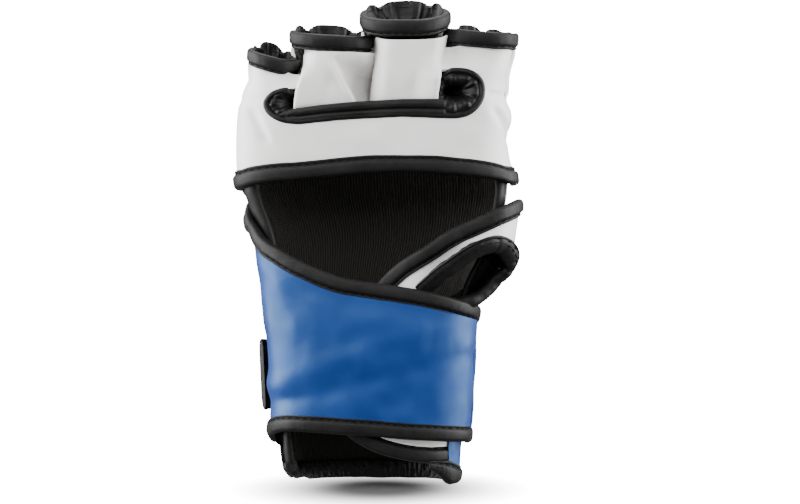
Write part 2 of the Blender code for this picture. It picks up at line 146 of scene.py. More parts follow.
def finger(name, u, t, d, push=0.0):
    f = FINGERS[name]
    u, t, d, push = np.broadcast_arrays(*(np.asarray(v, float) for v in (u, t, d, push)))
    c = [f["root"][k] + (f["rim"][k] - f["root"][k]) * t for k in range(3)]
    roll, lean = np.radians(f["roll"] * t), np.radians(f["lean"] * t)
    w = f["w"][0] + (f["w"][1] - f["w"][0]) * smooth(t, 0.35, 0.84) + d
    h = f["h"][0] + (f["h"][1] - f["h"][0]) * t + d
    r = np.radians(u)
    e = 2 / 2.3
    x, y = w * spow(np.cos(r), e), h * spow(np.sin(r), e) + push * np.maximum(0, np.sin(r))
    return np.stack([c[0] + x * np.cos(roll), c[1] + y * np.cos(lean), c[2] - x * np.sin(roll) + y * np.sin(lean)], -1)


def normals_of(p, closed_s=False):
    """Unit normals of a grid of points, from its two directions."""
    if closed_s:
        ds = np.roll(p, -1, 0) - np.roll(p, 1, 0)
    else:
        ds = np.gradient(p, axis=0)
    dt = np.gradient(p, axis=1)
    n = np.cross(ds, dt)
    return n / np.maximum(np.linalg.norm(n, axis=-1, keepdims=True), 1e-9)


# ------------------------------------------------------------------ pieces
def attach(obj, how):
    """how is a body's name, or (body, body, start, end) for a piece that crosses a joint; such a piece only has its
    transform baked and is not attached to any body.
    """
    if isinstance(how, str):
        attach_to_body(obj, how)
    else:
        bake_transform(obj)
    return obj


def finish_piece(name, verts, faces, uv, slot, how, replaces=(), smooth_angle=50, custom=None):
    mesh = bpy.data.meshes.new(name)
    mesh.from_pydata([tuple(v) for v in (np.asarray(verts) + SHIFT) * MM], [], [tuple(f) for f in faces])
    mesh.validate()
    layer = mesh.uv_layers.new(name="UVMap")
    index = np.empty(len(mesh.loops), np.int32)
    mesh.loops.foreach_get("vertex_index", index)
    layer.data.foreach_set("uv", (np.asarray(uv, float)[index] * MM).astype(np.float32).ravel())
    bm = bmesh.new()
    bm.from_mesh(mesh)
    bmesh.ops.recalc_face_normals(bm, faces=bm.faces)
    bm.to_mesh(mesh)
    bm.free()
    mesh.shade_smooth()
    if smooth_angle:
        mesh.set_sharp_from_angle(angle=math.radians(smooth_angle))
    obj = bpy.data.objects.new(name, mesh)
    bpy.context.scene.collection.objects.link(obj)
    mesh.materials.append(MATS[slot][0])
    attach(obj, how)
    if replaces:
        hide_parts(*replaces)
    return obj


def plate(name, p, thick, slot, how, replaces=(), closed_s=False, lip=0.3, n=None, uv0=(0, 0)):
    """A closed leather or cloth piece from the grid of its outer skin. Its normal side is away from thick."""
    p = np.asarray(p, float)
    if n is None:
        n = normals_of(p, closed_s)
        centre = np.array([0, 0, 0.0])
        outward = np.sum(n[..., :2] * (p[..., :2] - np.array([0, 0.5])), -1)
        if outward.mean() < 0:
            n = -n
    ns, nt = p.shape[:2]
    thick = np.broadcast_to(np.asarray(thick, float), (ns, nt))[..., None]
    inner = p - n * thick
    step_s = np.linalg.norm(np.diff(p, axis=0), axis=-1).mean(1)
    step_t = np.linalg.norm(np.diff(p, axis=1), axis=-1).mean(0)
    su = np.concatenate([[0], np.cumsum(step_s)]) + uv0[0]
    tv = np.concatenate([[0], np.cumsum(step_t)]) + uv0[1]
    uv = np.stack(np.meshgrid(su, tv, indexing="ij"), -1)
    verts = [p.reshape(-1, 3), inner.reshape(-1, 3)]
    uvs = [uv.reshape(-1, 2), uv.reshape(-1, 2)]
    idx = np.arange(ns * nt).reshape(ns, nt)
    off = ns * nt
    faces = []
    wrap = ns if closed_s else ns - 1
    for i in range(wrap):
        j = (i + 1) % ns
        for k in range(nt - 1):
            faces.append((idx[i, k], idx[j, k], idx[j, k + 1], idx[i, k + 1]))
            faces.append((off + idx[i, k], off + idx[i, k + 1], off + idx[j, k + 1], off + idx[j, k]))
    # boundary loop
    if closed_s:
        loops = [[(i, 0) for i in range(ns)], [(i, nt - 1) for i in range(ns)]]
    else:
        loops = [[(i, 0) for i in range(ns)] + [(ns - 1, k) for k in range(1, nt)] + [(i, nt - 1) for i in range(ns - 2, -1, -1)] + [(0, k) for k in range(nt - 2, 0, -1)]]
    count = 2 * off
    for loop in loops:
        mid = []
        for i, k in loop:
            o, q = p[i, k], inner[i, k]
            away = np.zeros(3)
            if not closed_s and i == 0: away += p[0, k] - p[1, k]
            if not closed_s and i == ns - 1: away += p[-1, k] - p[-2, k]
            if k == 0: away += p[i, 0] - p[i, 1]
            if k == nt - 1: away += p[i, -1] - p[i, -2]
            away /= max(np.linalg.norm(away), 1e-9)
            mid.append((o + q) / 2 + away * lip)
        verts.append(np.array(mid))
        uvs.append(np.array([uv[i, k] for i, k in loop]))
        m = len(loop)
        for a in range(m):
            b = (a + 1) % m
            ia, ib = idx[loop[a]], idx[loop[b]]
            faces.append((ia, ib, count + b, count + a))
            faces.append((count + a, count + b, off + ib, off + ia))
        count += m
    return finish_piece(name, np.concatenate(verts), faces, np.concatenate(uvs), slot, how, replaces)


TAPE = [(0.0, -1.0), (-0.3, -0.2), (-0.35, 0.8), (0.0, 1.7), (0.6, 2.3), (1.6, 2.55), (3.2, 2.6), (4.6, 2.55), (5.3, 2.3), (5.7, 1.7), (5.95, 1.15), (6.3, 1.0), (6.65, 1.3), (7.1, 1.45), (7.5, 1.15), (7.6, 0.5), (7.5, -0.4), (6.5, -0.7), (3.5, -1.1), (1.2, -1.3)]


def sweep(name, edge, across, normal, profile, slot, how, replaces=(), closed=False, wobble=0.0, seed=0, scale=None):
    """A tape or roll swept along an edge: profile points are (across, height)."""
    edge, across, normal = (np.asarray(v, float) for v in (edge, across, normal))
    n, prof = len(edge), np.asarray(profile, float)
    m = len(prof)
    if closed:
        step = np.linalg.norm(np.roll(edge, -1, 0) - edge, axis=1)
        s = np.concatenate([[0], np.cumsum(step)[:-1]])
    else:
        s = np.concatenate([[0], np.cumsum(np.linalg.norm(np.diff(edge, axis=0), axis=1))])
    k = np.ones((n, 1)) if scale is None else np.asarray(scale, float).reshape(n, 1)
    a = prof[None, :, 0] * k
    h = prof[None, :, 1] * k
    if wobble:
        top = np.clip(prof[None, :, 1] / 2.5, 0, 1)
        w = noise(s[:, None] / 3.1, prof[None, :, 0] / 5.0, seed) * 0.6 + noise(s[:, None] / 1.25, prof[None, :, 0] / 9.0, seed + 3) * 0.4
        h = h + w * wobble * top
        a = a + noise(s[:, None] / 6.0, 0 * prof[None, :, 0], seed + 5) * wobble * 0.8
    p = edge[:, None] + across[:, None] * a[..., None] + normal[:, None] * h[..., None]
    ring = np.concatenate([[0], np.cumsum(np.linalg.norm(np.diff(prof, axis=0), axis=1))])
    uv = np.stack(np.meshgrid(s, ring, indexing="ij"), -1).reshape(-1, 2)
    verts = p.reshape(-1, 3)
    faces = []
    for i in range(n if closed else n - 1):
        j = (i + 1) % n
        for c in range(m):
            e = (c + 1) % m
            faces.append((i * m + c, i * m + e, j * m + e, j * m + c))
    if not closed:
        extra, euv = [], []
        for i, sign in ((0, -1), (n - 1, 1)):
            along = edge[1] - edge[0] if i == 0 else edge[-1] - edge[-2]
            along = along / np.linalg.norm(along)
            centre = p[i].mean(0)
            ring2 = centre + (p[i] - centre) * 0.86 + along * sign * 0.4
            base = len(verts) + len(extra)
            extra += list(ring2) + [centre + along * sign * 0.5]
            euv += [uv[i * m + c] for c in range(m)] + [uv[i * m]]
            for c in range(m):
                e = (c + 1) % m
                faces.append((i * m + c, i * m + e, base + e, base + c))
                faces.append((base + c, base + e, base + m))
        verts = np.concatenate([verts, np.array(extra)])
        uv = np.concatenate([uv, np.array(euv)])
    return finish_piece(name, verts, faces, uv, slot, how, replaces, smooth_angle=60)


def resample(points, step, closed=False):
    p = np.asarray(points, float)
    if closed:
        p = np.concatenate([p, p[:1]])
    s = np.concatenate([[0], np.cumsum(np.linalg.norm(np.diff(p, axis=0), axis=1))])
    n = max(3, int(round(s[-1] / step)))
    t = np.linspace(0, s[-1], n + 1)
    out = np.stack([np.interp(t, s, p[:, k]) for k in range(p.shape[1])], -1)
    return out[:-1] if closed else out


def spline(points, steps=12, closed=False):
    """Smooth curve through points."""
    p = np.asarray(points, float)
    n = len(p)
    get = (lambda i: p[i % n]) if closed else (lambda i: p[min(max(i, 0), n - 1)])
    out = []
    for i in range(n if closed else n - 1):
        a, b, c, d = get(i - 1), get(i), get(i + 1), get(i + 2)
        for k in range(steps):
            t = k / steps
            out.append(0.5 * (2 * b + (c - a) * t + (2 * a - 5 * b + 4 * c - d) * t * t + (3 * b - a - 3 * c + d) * t**3))
    if not closed:
        out.append(p[-1])
    return np.array(out)


def stitches(name, path, normal, slot, how, pitch=3.9, length=2.7, radius=0.4, lift=0.05, phase=0.5, tilt=0.0):
    """A row of thread stitches along a path, each a small rounded bar half sunk in the leather."""
    path, normal = np.asarray(path, float), np.asarray(normal, float)
    s = np.concatenate([[0], np.cumsum(np.linalg.norm(np.diff(path, axis=0), axis=1))])
    centres = np.arange(phase * pitch, s[-1] - length / 2, pitch)
    verts, faces, uvs = [], [], []
    rings = [(-1.0, 0.25), (-0.82, 0.8), (-0.4, 1.0), (0.4, 1.0), (0.82, 0.8), (1.0, 0.25)]
    sides = 6
    at = lambda v, q: np.array([np.interp(q, s, v[:, k]) for k in range(3)])
    for c in centres:
        a, b = at(path, c - length / 2), at(path, c + length / 2)
        o, n = (a + b) / 2, at(normal, c)
        x = (b - a) / max(np.linalg.norm(b - a), 1e-9)
        n = n - x * np.dot(n, x)
        n /= max(np.linalg.norm(n), 1e-9)
        y = np.cross(n, x)
        base = len(verts)
        for t, w in rings:
            drop = -0.22 * radius * 2 * t * t
            for k in range(sides):
                g = 2 * math.pi * k / sides
                verts.append(o + x * (t * length / 2) + y * (math.cos(g) * radius * w + tilt * t) + n * (math.sin(g) * radius * w * 0.8 + lift + drop))
                uvs.append((c + t * length / 2, k))
        for r in range(len(rings) - 1):
            for k in range(sides):
                e = (k + 1) % sides
                faces.append((base + r * sides + k, base + r * sides + e, base + (r + 1) * sides + e, base + (r + 1) * sides + k))
        faces.append(tuple(base + k for k in range(sides)))
        faces.append(tuple(base + (len(rings) - 1) * sides + k for k in range(sides)))
    if not verts:
        return None
    return finish_piece(name, np.array(verts), faces, np.array(uvs), slot, how, smooth_angle=70)


# ------------------------------------------------------------------ materials
def nodes_for(name):
    m = bpy.data.materials.new(name)
    m.use_nodes = True
    t = m.node_tree
    return m, t, t.nodes["Principled BSDF"]


def make(tree, kind, **inputs):
    n = tree.nodes.new(kind)
    for k, v in inputs.items():
        if hasattr(n, k) and k not in n.inputs:
            setattr(n, k, v)
        else:
            n.inputs[k.replace("_", " ")].default_value = v
    return n


def ramp(tree, source, stops, colour=True):
    r = tree.nodes.new("ShaderNodeValToRGB")
    while len(r.color_ramp.elements) < len(stops):
        r.color_ramp.elements.new(0.5)
    for e, (pos, c) in zip(r.color_ramp.elements, stops):
        e.position = pos
        e.color = (*c, 1) if not isinstance(c, (int, float)) else (c, c, c, 1)
    tree.links.new(source, r.inputs["Fac"])
    return r.outputs["Color"]


def to_range(tree, source, lo, hi, from_lo=0.0, from_hi=1.0):
    r = tree.nodes.new("ShaderNodeMapRange")
    r.inputs["From Min"].default_value, r.inputs["From Max"].default_value = from_lo, from_hi
    r.inputs["To Min"].default_value, r.inputs["To Max"].default_value = lo, hi
    tree.links.new(source, r.inputs["Value"])
    return r.outputs["Result"]


def leather(name, dark, light, rough, grain=0.00055, bump=0.35, crease=0.25, coat=0.0, sheen=0.0, spec=0.5, mottling=14.0, tint=None):
    """Coated leather: fine pebble grain, faint mottling, uneven gloss and soft creases."""
    m, t, b = nodes_for(name)
    co = make(t, "ShaderNodeTexCoord").outputs["Object"]
    cells = make(t, "ShaderNodeTexVoronoi", feature="DISTANCE_TO_EDGE", Scale=1 / grain)
    fine = make(t, "ShaderNodeTexNoise", Scale=1 / (grain * 0.6), Detail=3.0)
    wide = make(t, "ShaderNodeTexNoise", Scale=1000 / mottling, Detail=4.0, Roughness=0.55)
    fold = make(t, "ShaderNodeTexNoise", Scale=1000 / 26.0, Detail=2.0, Distortion=0.7)
    for n in (cells, fine, wide, fold):
        t.links.new(co, n.inputs["Vector"])
    t.links.new(ramp(t, wide.outputs["Fac"], [(0.3, dark), (0.7, light)]), b.inputs["Base Color"])
    t.links.new(to_range(t, wide.outputs["Fac"], rough * 0.86, rough * 1.16, 0.3, 0.7), b.inputs["Roughness"])
    pebble = to_range(t, cells.outputs["Distance"], 0.0, 1.0, 0.0, 0.28)
    b1 = make(t, "ShaderNodeBump", Strength=bump, Distance=0.00012)
    t.links.new(pebble, b1.inputs["Height"])
    b2 = make(t, "ShaderNodeBump", Strength=bump * 0.5, Distance=0.00008)
    t.links.new(fine.outputs["Fac"], b2.inputs["Height"])
    t.links.new(b1.outputs["Normal"], b2.inputs["Normal"])
    b3 = make(t, "ShaderNodeBump", Strength=crease, Distance=0.0012)
    t.links.new(fold.outputs["Fac"], b3.inputs["Height"])
    t.links.new(b2.outputs["Normal"], b3.inputs["Normal"])
    t.links.new(b3.outputs["Normal"], b.inputs["Normal"])
    b.inputs["Specular IOR Level"].default_value = spec
    if tint:
        b.inputs["Specular Tint"].default_value = (*tint, 1)
    if coat:
        b.inputs["Coat Weight"].default_value = coat
        b.inputs["Coat Roughness"].default_value = 0.28
    if sheen:
        b.inputs["Sheen Weight"].default_value = sheen
        b.inputs["Sheen Roughness"].default_value = 0.5
    return m


def ribbed(name, dark, light, pitch=1.15):
    """Ribbed lining cloth: fine ribs that run up the glove, from the UV's first direction."""
    m, t, b = nodes_for(name)
    tc = make(t, "ShaderNodeTexCoord")
    wave = make(t, "ShaderNodeTexWave", wave_type="BANDS", bands_direction="X", Scale=math.pi * 2 / (pitch * MM) / 20 * 1.0, Distortion=0.0)
    # one band of the wave texture is 2*pi/20 of a unit at scale 1
    weave = make(t, "ShaderNodeTexNoise", Scale=2600.0, Detail=2.0)
    wide = make(t, "ShaderNodeTexNoise", Scale=60.0, Detail=3.0)
    jog = make(t, "ShaderNodeTexNoise", Scale=45.0, Detail=1.0)
    for n in (wave, weave, wide):
        t.links.new(tc.outputs["UV"], n.inputs["Vector"])
    mixer = t.nodes.new("ShaderNodeMixRGB")
    mixer.inputs["Fac"].default_value = 0.35
    t.links.new(wave.outputs["Fac"], mixer.inputs["Color1"])
    t.links.new(weave.outputs["Fac"], mixer.inputs["Color2"])
    t.links.new(ramp(t, mixer.outputs["Color"], [(0.25, dark), (0.85, light)]), b.inputs["Base Color"])
    t.links.new(to_range(t, wide.outputs["Fac"], 0.82, 0.96), b.inputs["Roughness"])
    b1 = make(t, "ShaderNodeBump", Strength=0.8, Distance=0.00035)
    t.links.new(mixer.outputs["Color"], b1.inputs["Height"])
    t.links.new(b1.outputs["Normal"], b.inputs["Normal"])
    b.inputs["Sheen Weight"].default_value = 0.12
    b.inputs["Specular IOR Level"].default_value = 0.2
    return m


def fuzzy(name, dark, light, size=0.0007, rough=0.95):
    m, t, b = nodes_for(name)
    co = make(t, "ShaderNodeTexCoord").outputs["Object"]
    n1 = make(t, "ShaderNodeTexVoronoi", Scale=1 / size)
    n2 = make(t, "ShaderNodeTexNoise", Scale=1 / (size * 2), Detail=4.0, Distortion=1.0)
    for n in (n1, n2):
        t.links.new(co, n.inputs["Vector"])
    t.links.new(ramp(t, n2.outputs["Fac"], [(0.3, dark), (0.75, light)]), b.inputs["Base Color"])
    t.links.new(to_range(t, n1.outputs["Distance"], rough - 0.15, rough), b.inputs["Roughness"])
    b1 = make(t, "ShaderNodeBump", Strength=0.9, Distance=0.0004)
    t.links.new(n1.outputs["Distance"], b1.inputs["Height"])
    b2 = make(t, "ShaderNodeBump", Strength=0.6, Distance=0.0004)
    t.links.new(n2.outputs["Fac"], b2.inputs["Height"])
    t.links.new(b1.outputs["Normal"], b2.inputs["Normal"])
    t.links.new(b2.outputs["Normal"], b.inputs["Normal"])
    return m


def thread(name, dark, light, rough=0.6):
    m, t, b = nodes_for(name)
    tc = make(t, "ShaderNodeTexCoord")
    w = make(t, "ShaderNodeTexWave", wave_type="BANDS", bands_direction="DIAGONAL", Scale=900.0)
    t.links.new(tc.outputs["UV"], w.inputs["Vector"])
    t.links.new(ramp(t, w.outputs["Fac"], [(0.2, dark), (0.8, light)]), b.inputs["Base Color"])
    b.inputs["Roughness"].default_value = rough
    b.inputs["Specular IOR Level"].default_value = 0.12
    b1 = make(t, "ShaderNodeBump", Strength=0.4, Distance=0.0001)
    t.links.new(w.outputs["Fac"], b1.inputs["Height"])
    t.links.new(b1.outputs["Normal"], b.inputs["Normal"])
    return m


MATS = {
    "white": (leather("white_leather_skin", (0.82, 0.807, 0.79), (0.868, 0.857, 0.843), 0.42, bump=0.16, crease=0.12, coat=0.08), "white_leather"),
    "blue": (leather("blue_leather_skin", (0.0, 0.021, 0.145), (0.0, 0.028, 0.182), 0.5, bump=0.12, crease=0.32, coat=0.02, spec=0.66, tint=(0.42, 0.76, 1.0)), "blue_leather"),
    "black": (leather("black_leather_skin", (0.0042, 0.0042, 0.0040), (0.0075, 0.0075, 0.0072), 0.5, bump=0.3, crease=0.25, grain=0.0006, spec=0.21), "black_leather"),
    "soft_black": (leather("black_lining_leather", (0.0024, 0.0023, 0.0022), (0.0046, 0.0044, 0.0042), 0.36, bump=0.3, crease=0.3, spec=0.20), "black_leather"),
    "matte_black": (leather("black_gathered_leather", (0.0022, 0.0022, 0.0021), (0.0042, 0.0041, 0.004), 0.72, bump=0.3, crease=0.2, spec=0.1), "black_leather"),
    "lining": (ribbed("ribbed_lining_cloth", (0.0072, 0.0071, 0.0057), (0.029, 0.0285, 0.0225)), "black_lining"),
    "hook": (fuzzy("hook_tape", (0.008, 0.008, 0.008), (0.03, 0.03, 0.03), 0.0009), "hook_loop"),
    "loop": (fuzzy("loop_tape", (0.012, 0.012, 0.012), (0.04, 0.04, 0.04), 0.0005), "hook_loop"),
    "foam": (fuzzy("foam_sheet", (0.05, 0.05, 0.055), (0.10, 0.10, 0.105), 0.0006, 0.95), "foam"),
    "black_thread": (thread("black_thread", (0.0006, 0.0006, 0.0006), (0.003, 0.003, 0.003)), "black_leather"),
    "white_thread": (thread("white_thread", (0.50, 0.49, 0.475), (0.70, 0.69, 0.67), 0.7), "white_leather"),
    "blue_thread": (thread("blue_thread", (0.003, 0.04, 0.17), (0.007, 0.08, 0.30), 0.6), "blue_leather"),
}

# two bodies and a segment for each piece that crosses a joint
BEND_INDEX = ("hand", "index_finger", (49, -9.5, 177.5), (49, -9.5, 190.5))
BEND_LITTLE = ("hand", "little_finger", (-51, -9.5, 173.0), (-51, -9.5, 186.5))
BEND_THUMB = ("hand", "thumb", (62, 5.0, 110), (72.2, -8.75, 110))
BEND_FOLD = ("strap", "strap_tail", (48, -9.0, 51), (48, 7.0, 51))
BEND_ROOT = ("hand", "strap", (-55, 8.0, 72), (-55, -5.0, 72))


# ------------------------------------------------------------------ common outlines (column, row on the chart)
BAND_UPPER = px((240, 172), (250, 168.5), (270, 166), (300, 164), (330, 161), (350, 159), (375, 157.5), (400, 157.5), (440, 158), (460, 160), (480, 162), (500, 165), (512, 169), (517, 173))
BAND_LOWER = px((240, 188), (250, 184.5), (270, 182), (300, 179), (330, 176), (360, 173), (400, 171.5), (440, 173), (470, 176), (500, 180), (510, 183))
SLOT_OUT = px((296, 88.5), (290, 89), (280, 90.5), (272, 94), (266, 101), (265.5, 107), (269, 113.5), (278, 119.5), (288, 122.5), (300, 123.3), (320, 121.3), (350, 118.7), (370, 117.5), (400, 116.3), (420, 116.5), (440, 117.3), (455, 117.6), (466, 115.5), (475, 109.5), (481, 101), (483.5, 91), (482, 82), (477, 75.5), (469, 71), (460, 69.3), (450, 69.2), (441, 69.5))


def side_d(z):
    """How far the white leather stands off the cavity at the thumb side and the little finger side."""
    right = line([(140, 8.0), (147, 7.9), (153, 6.2), (160, 5.6), (166, 6.4), (172, 7.4), (177, 7.5), (184, 6.0), (191, 6.2), (200, 8.6), (207, 9.8), (216, 10.2)], z)
    left = line([(138, 7.0), (147, 7.5), (160, 7.5), (170, 7.4), (178, 7.3), (186, 6.2), (193, 5.4), (200, 5.3), (210, 5.5)], z)
    return right, left


def palm_d(u, z):
    """Offset of the outer face of the white palm leather."""
    right, left = side_d(z)
    up = np.cos(np.radians(u))
    s = np.where(up > 0, right, left)
    return mix(3.0, s, side(u) ** 1.3)


def front_point(u, z):
    """Outer face of the palm leather, with its soft dents and puffs."""
    u, z = np.broadcast_arrays(np.asarray(u, float), np.asarray(z, float))
    d = palm_d(u, z)
    p = hand(u, z, d)
    x = p[..., 0].copy()
    puff = 0.55 * noise(x / 17, z / 13, 1) + 0.28 * noise(x / 7, z / 8, 2)
    # the flex crease from the slot's end to the index side
    zc = 184.3 + 0.012 * (x - 50) + 0.6 * np.sin(x / 4.0)
    puff = puff - 1.1 * np.exp(-((z - zc) / 1.2) ** 2) * smooth(x, 49.5, 54) - 0.6 * np.exp(-((z - zc + 3.5) / 2.6) ** 2) * smooth(x, 52, 58)
    zl = 181.5 - 0.05 * (x + 60)
    puff = puff - 0.55 * np.exp(-((z - zl) / 1.8) ** 2) * smooth(-x, 52, 57)
    # dents that run down and in from the two sides
    puff = puff - 1.4 * np.exp(-((x - 57 + (z - 176) * 0.55) / 2.6) ** 2) * smooth(z, 158, 164) * smooth(z, 181, 175)
    puff = puff - 1.3 * np.exp(-((x + 60 - (178 - z) * 0.5) / 2.6) ** 2) * smooth(z, 158, 164) * smooth(z, 181, 174)
    puff = puff * smooth(z, 155.5, 163) * smooth(z, 203, 196)
    n = np.stack([np.cos(np.radians(u)) * 0.6, np.sin(np.radians(u)), 0 * u], -1)
    n /= np.maximum(np.linalg.norm(n, axis=-1, keepdims=True), 1e-9)
    p = p + n * puff[..., None]
    # near the fingers the leather takes the shape of the stalls
    for f, a, b, inner in (("little", x < 0, (186, 199), 1), ("index", x >= 0, (190, 204), -1)):
        F = FINGERS[f]
        t = (z - F["root"][2]) / (F["rim"][2] - F["root"][2])
        cx = F["root"][0] + (F["rim"][0] - F["root"][0]) * t
        cy = F["root"][1] + (F["rim"][1] - F["root"][1]) * t
        w = F["w"][0] + (F["w"][1] - F["w"][0]) * smooth(t, 0.35, 0.84) + 0.1
        h = F["h"][0] + (F["h"][1] - F["h"][0]) * t + 0.1
        q = np.clip((x - cx) / w, -1, 1)
        # towards the next stall the leather bridges straight across
        q = np.where(q * inner > 0, q / (1 + (np.abs(q) / 0.8) ** 6) ** (1 / 6), q)
        front = np.sin(np.radians(u)) < 0
        yt = cy - h * (1 - np.abs(q) ** 2.3) ** (1 / 2.3) * np.where(front, 1, -0.6)
        k = np.where(a, smooth(z, *b), 0)
        p[..., 1] = mix(p[..., 1], yt, k)
        outer = cx + np.where(x < 0, -1, 1) * w
        beyond = np.where(x < 0, x < outer, x > outer) & a
        p[..., 0] = np.where(beyond, mix(p[..., 0], outer, k), p[..., 0])
    return p


def surface_normal(fn, u, z, eps=0.4):
    a = fn(u + eps, z) - fn(u - eps, z)
    b = fn(u, z + eps) - fn(u, z - eps)
    n = np.cross(a, b)
    n /= np.maximum(np.linalg.norm(n, axis=-1, keepdims=True), 1e-9)
    r = np.radians(np.broadcast_to(np.asarray(u, float), n.shape[:-1]))
    flip = np.sign(n[..., :1] * np.cos(r)[..., None] + n[..., 1:2] * np.sin(r)[..., None])
    return n * np.where(flip == 0, 1, flip)


def unroll(z=165.0):
    """Arc length round the hand form against the angle."""
    u = np.linspace(-200, 20, 881)
    p = hand(u, np.full_like(u, z), palm_d(u, np.full_like(u, z)))
    s = np.concatenate([[0], np.cumsum(np.linalg.norm(np.diff(p, axis=0), axis=1))])
    return u, s


_U, _S = unroll()
to_s = lambda u: np.interp(u, _U, _S)
to_u = lambda s: np.interp(s, _S, _U)


def flat_piece(name, outline, fn, thick, slot, how, replaces=(), step=1.3, seam_x=None):
    """A closed leather piece cut to an outline given in (arc length, z), lying on the surface fn(u, z)."""
    rim = resample(outline, step, closed=True)
    lo, hi = rim.min(0), rim.max(0)
    xs = np.arange(lo[0] + step * 0.5, hi[0], step)
    zs = np.arange(lo[1] + step * 0.5, hi[1], step)
    gx, gz = np.meshgrid(xs, zs, indexing="ij")
    gx[:, 1::2] += step * 0.5
    pts = np.stack([gx.ravel(), gz.ravel()], -1)
    # keep the points that are inside and not too near the edge
    inside = np.zeros(len(pts), bool)
    a, b = rim, np.roll(rim, -1, 0)
    for (x0, y0), (x1, y1) in zip(a, b):
        cross = ((y0 > pts[:, 1]) != (y1 > pts[:, 1]))
        with np.errstate(divide="ignore", invalid="ignore"):
            xi = (x1 - x0) * (pts[:, 1] - y0) / (y1 - y0) + x0
        inside ^= cross & (pts[:, 0] < xi)
    pts = pts[inside]
    near = np.full(len(pts), 1e9)
    for q in rim:
        near = np.minimum(near, np.sum((pts - q) ** 2, -1))
    pts = pts[near > (step * 0.62) ** 2]
    every = np.concatenate([rim, pts])
    n_rim = len(rim)
    out = delaunay_2d_cdt([Vector(p) for p in every], [(i, (i + 1) % n_rim) for i in range(n_rim)], [], 1, 1e-5)
    v2 = np.array([tuple(v) for v in out[0]])
    tris = [tuple(f) for f in out[2]]
    u, z = to_u(v2[:, 0]), v2[:, 1]
    p = fn(u, z)
    n = surface_normal(fn, u, z)
    inner = p - n * thick
    m = len(v2)
    faces = [tuple(f) for f in tris] + [tuple(m + i for i in reversed(f)) for f in tris]
    # side strip along edges used once
    seen = {}
    for f in tris:
        for i in range(3):
            e = (f[i], f[(i + 1) % 3])
            k = (min(e), max(e))
            seen[k] = None if k in seen else e
    for k, e in seen.items():
        if e is not None:
            faces.append((e[1], e[0], m + e[0], m + e[1]))
    uv = np.concatenate([v2, v2])
    return finish_piece(name, np.concatenate([p, inner]), faces, uv, slot, how, replaces, smooth_angle=55)


def on_front(points, z_fix=None):
    """Chart points on the palm side as (arc length, z)."""
    pts = np.asarray(points, float)
    u = palm_u(pts[:, 0], pts[:, 1], 3.0)
    for _ in range(4):
        d = palm_d(u, pts[:, 1])
        u = palm_u(pts[:, 0], pts[:, 1], d)
    return np.stack([to_s(u), pts[:, 1]], -1)


# ------------------------------------------------------------------ the palm's white leather, in two halves that meet in the middle
def build_palm():
    little_top = px((245.5, 56), (255, 60), (270, 66), (283, 70), (292, 73.8), (301, 75.0))
    index_top = px((441, 46.5), (451, 46.5), (460, 45), (475, 45), (500, 46.5), (515, 47.4))
    slot_left = [p for p in SLOT_OUT if p[0] < -0.5]
    slot_right = [p for p in SLOT_OUT if p[0] > 0.5]
    zc = float(line(BAND_UPPER, 0.0))
    S = on_front
    us, ue = to_s(-187.5), to_s(7.5)
    edge_left = px((306, 74.0), (305, 78), (302.5, 86), (299.5, 88.4))
    # left half
    left = [np.array([[to_s(-187.5), line(BAND_UPPER, -64.0) - 0.5]])]
    left.append(np.array([[us, z] for z in np.arange(146, 197, 3.0)]))
    left.append(np.array([[to_s(-180.0), 201.6]]))
    left.append(S(little_top))
    left.append(S(edge_left))
    left.append(S(slot_left))
    left.append(S([(0.0, 173.35)]))
    left.append(S([(0.0, zc)]))
    left.append(S([p for p in reversed(BAND_UPPER) if p[0] < -0.5]))
    left = np.concatenate(left)
    left[:, 1] = np.where(left[:, 1] < 160, left[:, 1] - 0.8, left[:, 1])
    flat_piece("palm_leather_little_side", left, front_point, 1.3, "white", BEND_LITTLE, ("palm_band", "little_finger_front"))
    right = [S([(0.0, zc)]), S([(0.0, 173.35)]), S(slot_right), S(px((441.5, 60), (441, 50)))]
    right.append(S(index_top))
    right.append(np.array([[to_s(0.0), 206.3]]))
    right.append(np.array([[ue, z] for z in np.arange(203, 146, -3.0)]))
    right.append(S([p for p in reversed(BAND_UPPER) if p[0] > 0.5]))
    right = np.concatenate(right)
    right[:, 1] = np.where(right[:, 1] < 160, right[:, 1] - 0.8, right[:, 1])
    flat_piece("palm_leather_index_side", right, front_point, 1.3, "white", BEND_INDEX, ("index_finger_front",))


build_palm()


# ------------------------------------------------------------------ tape along an edge of the hand form
def edge_frames(fn, curve):
    """Points, across directions and normals for a list of (u, z free edge, u, z inner edge)."""
    c = np.asarray(curve, float)
    e = fn(c[:, 0], c[:, 1])
    i = fn(c[:, 2], c[:, 3])
    n = surface_normal(fn, c[:, 0], c[:, 1])
    a = i - e
    width = np.linalg.norm(a, axis=1, keepdims=True)
    a = a / width
    n = n - a * np.sum(n * a, -1, keepdims=True)
    n /= np.linalg.norm(n, axis=1, keepdims=True)
    return e, a, n, width[:, 0]


def tape(name, e, a, n, how, replaces=(), closed=False, wobble=0.12, seed=0, thread_at=6.15, slot="black", profile=TAPE, stitch=True, scale=None, thread_h=1.15):
    obj = sweep(name, e, a, n, profile, slot, how, replaces, closed, wobble, seed, scale)
    if stitch:
        k = 1.0 if scale is None else np.asarray(scale).reshape(-1, 1)
        path = e + a * thread_at * k + n * thread_h * k
        nn = n
        if closed:
            path, nn = np.concatenate([path, path[:1]]), np.concatenate([n, n[:1]])
        stitches(name + "_stitches", path, nn, "black_thread", how)
    return obj


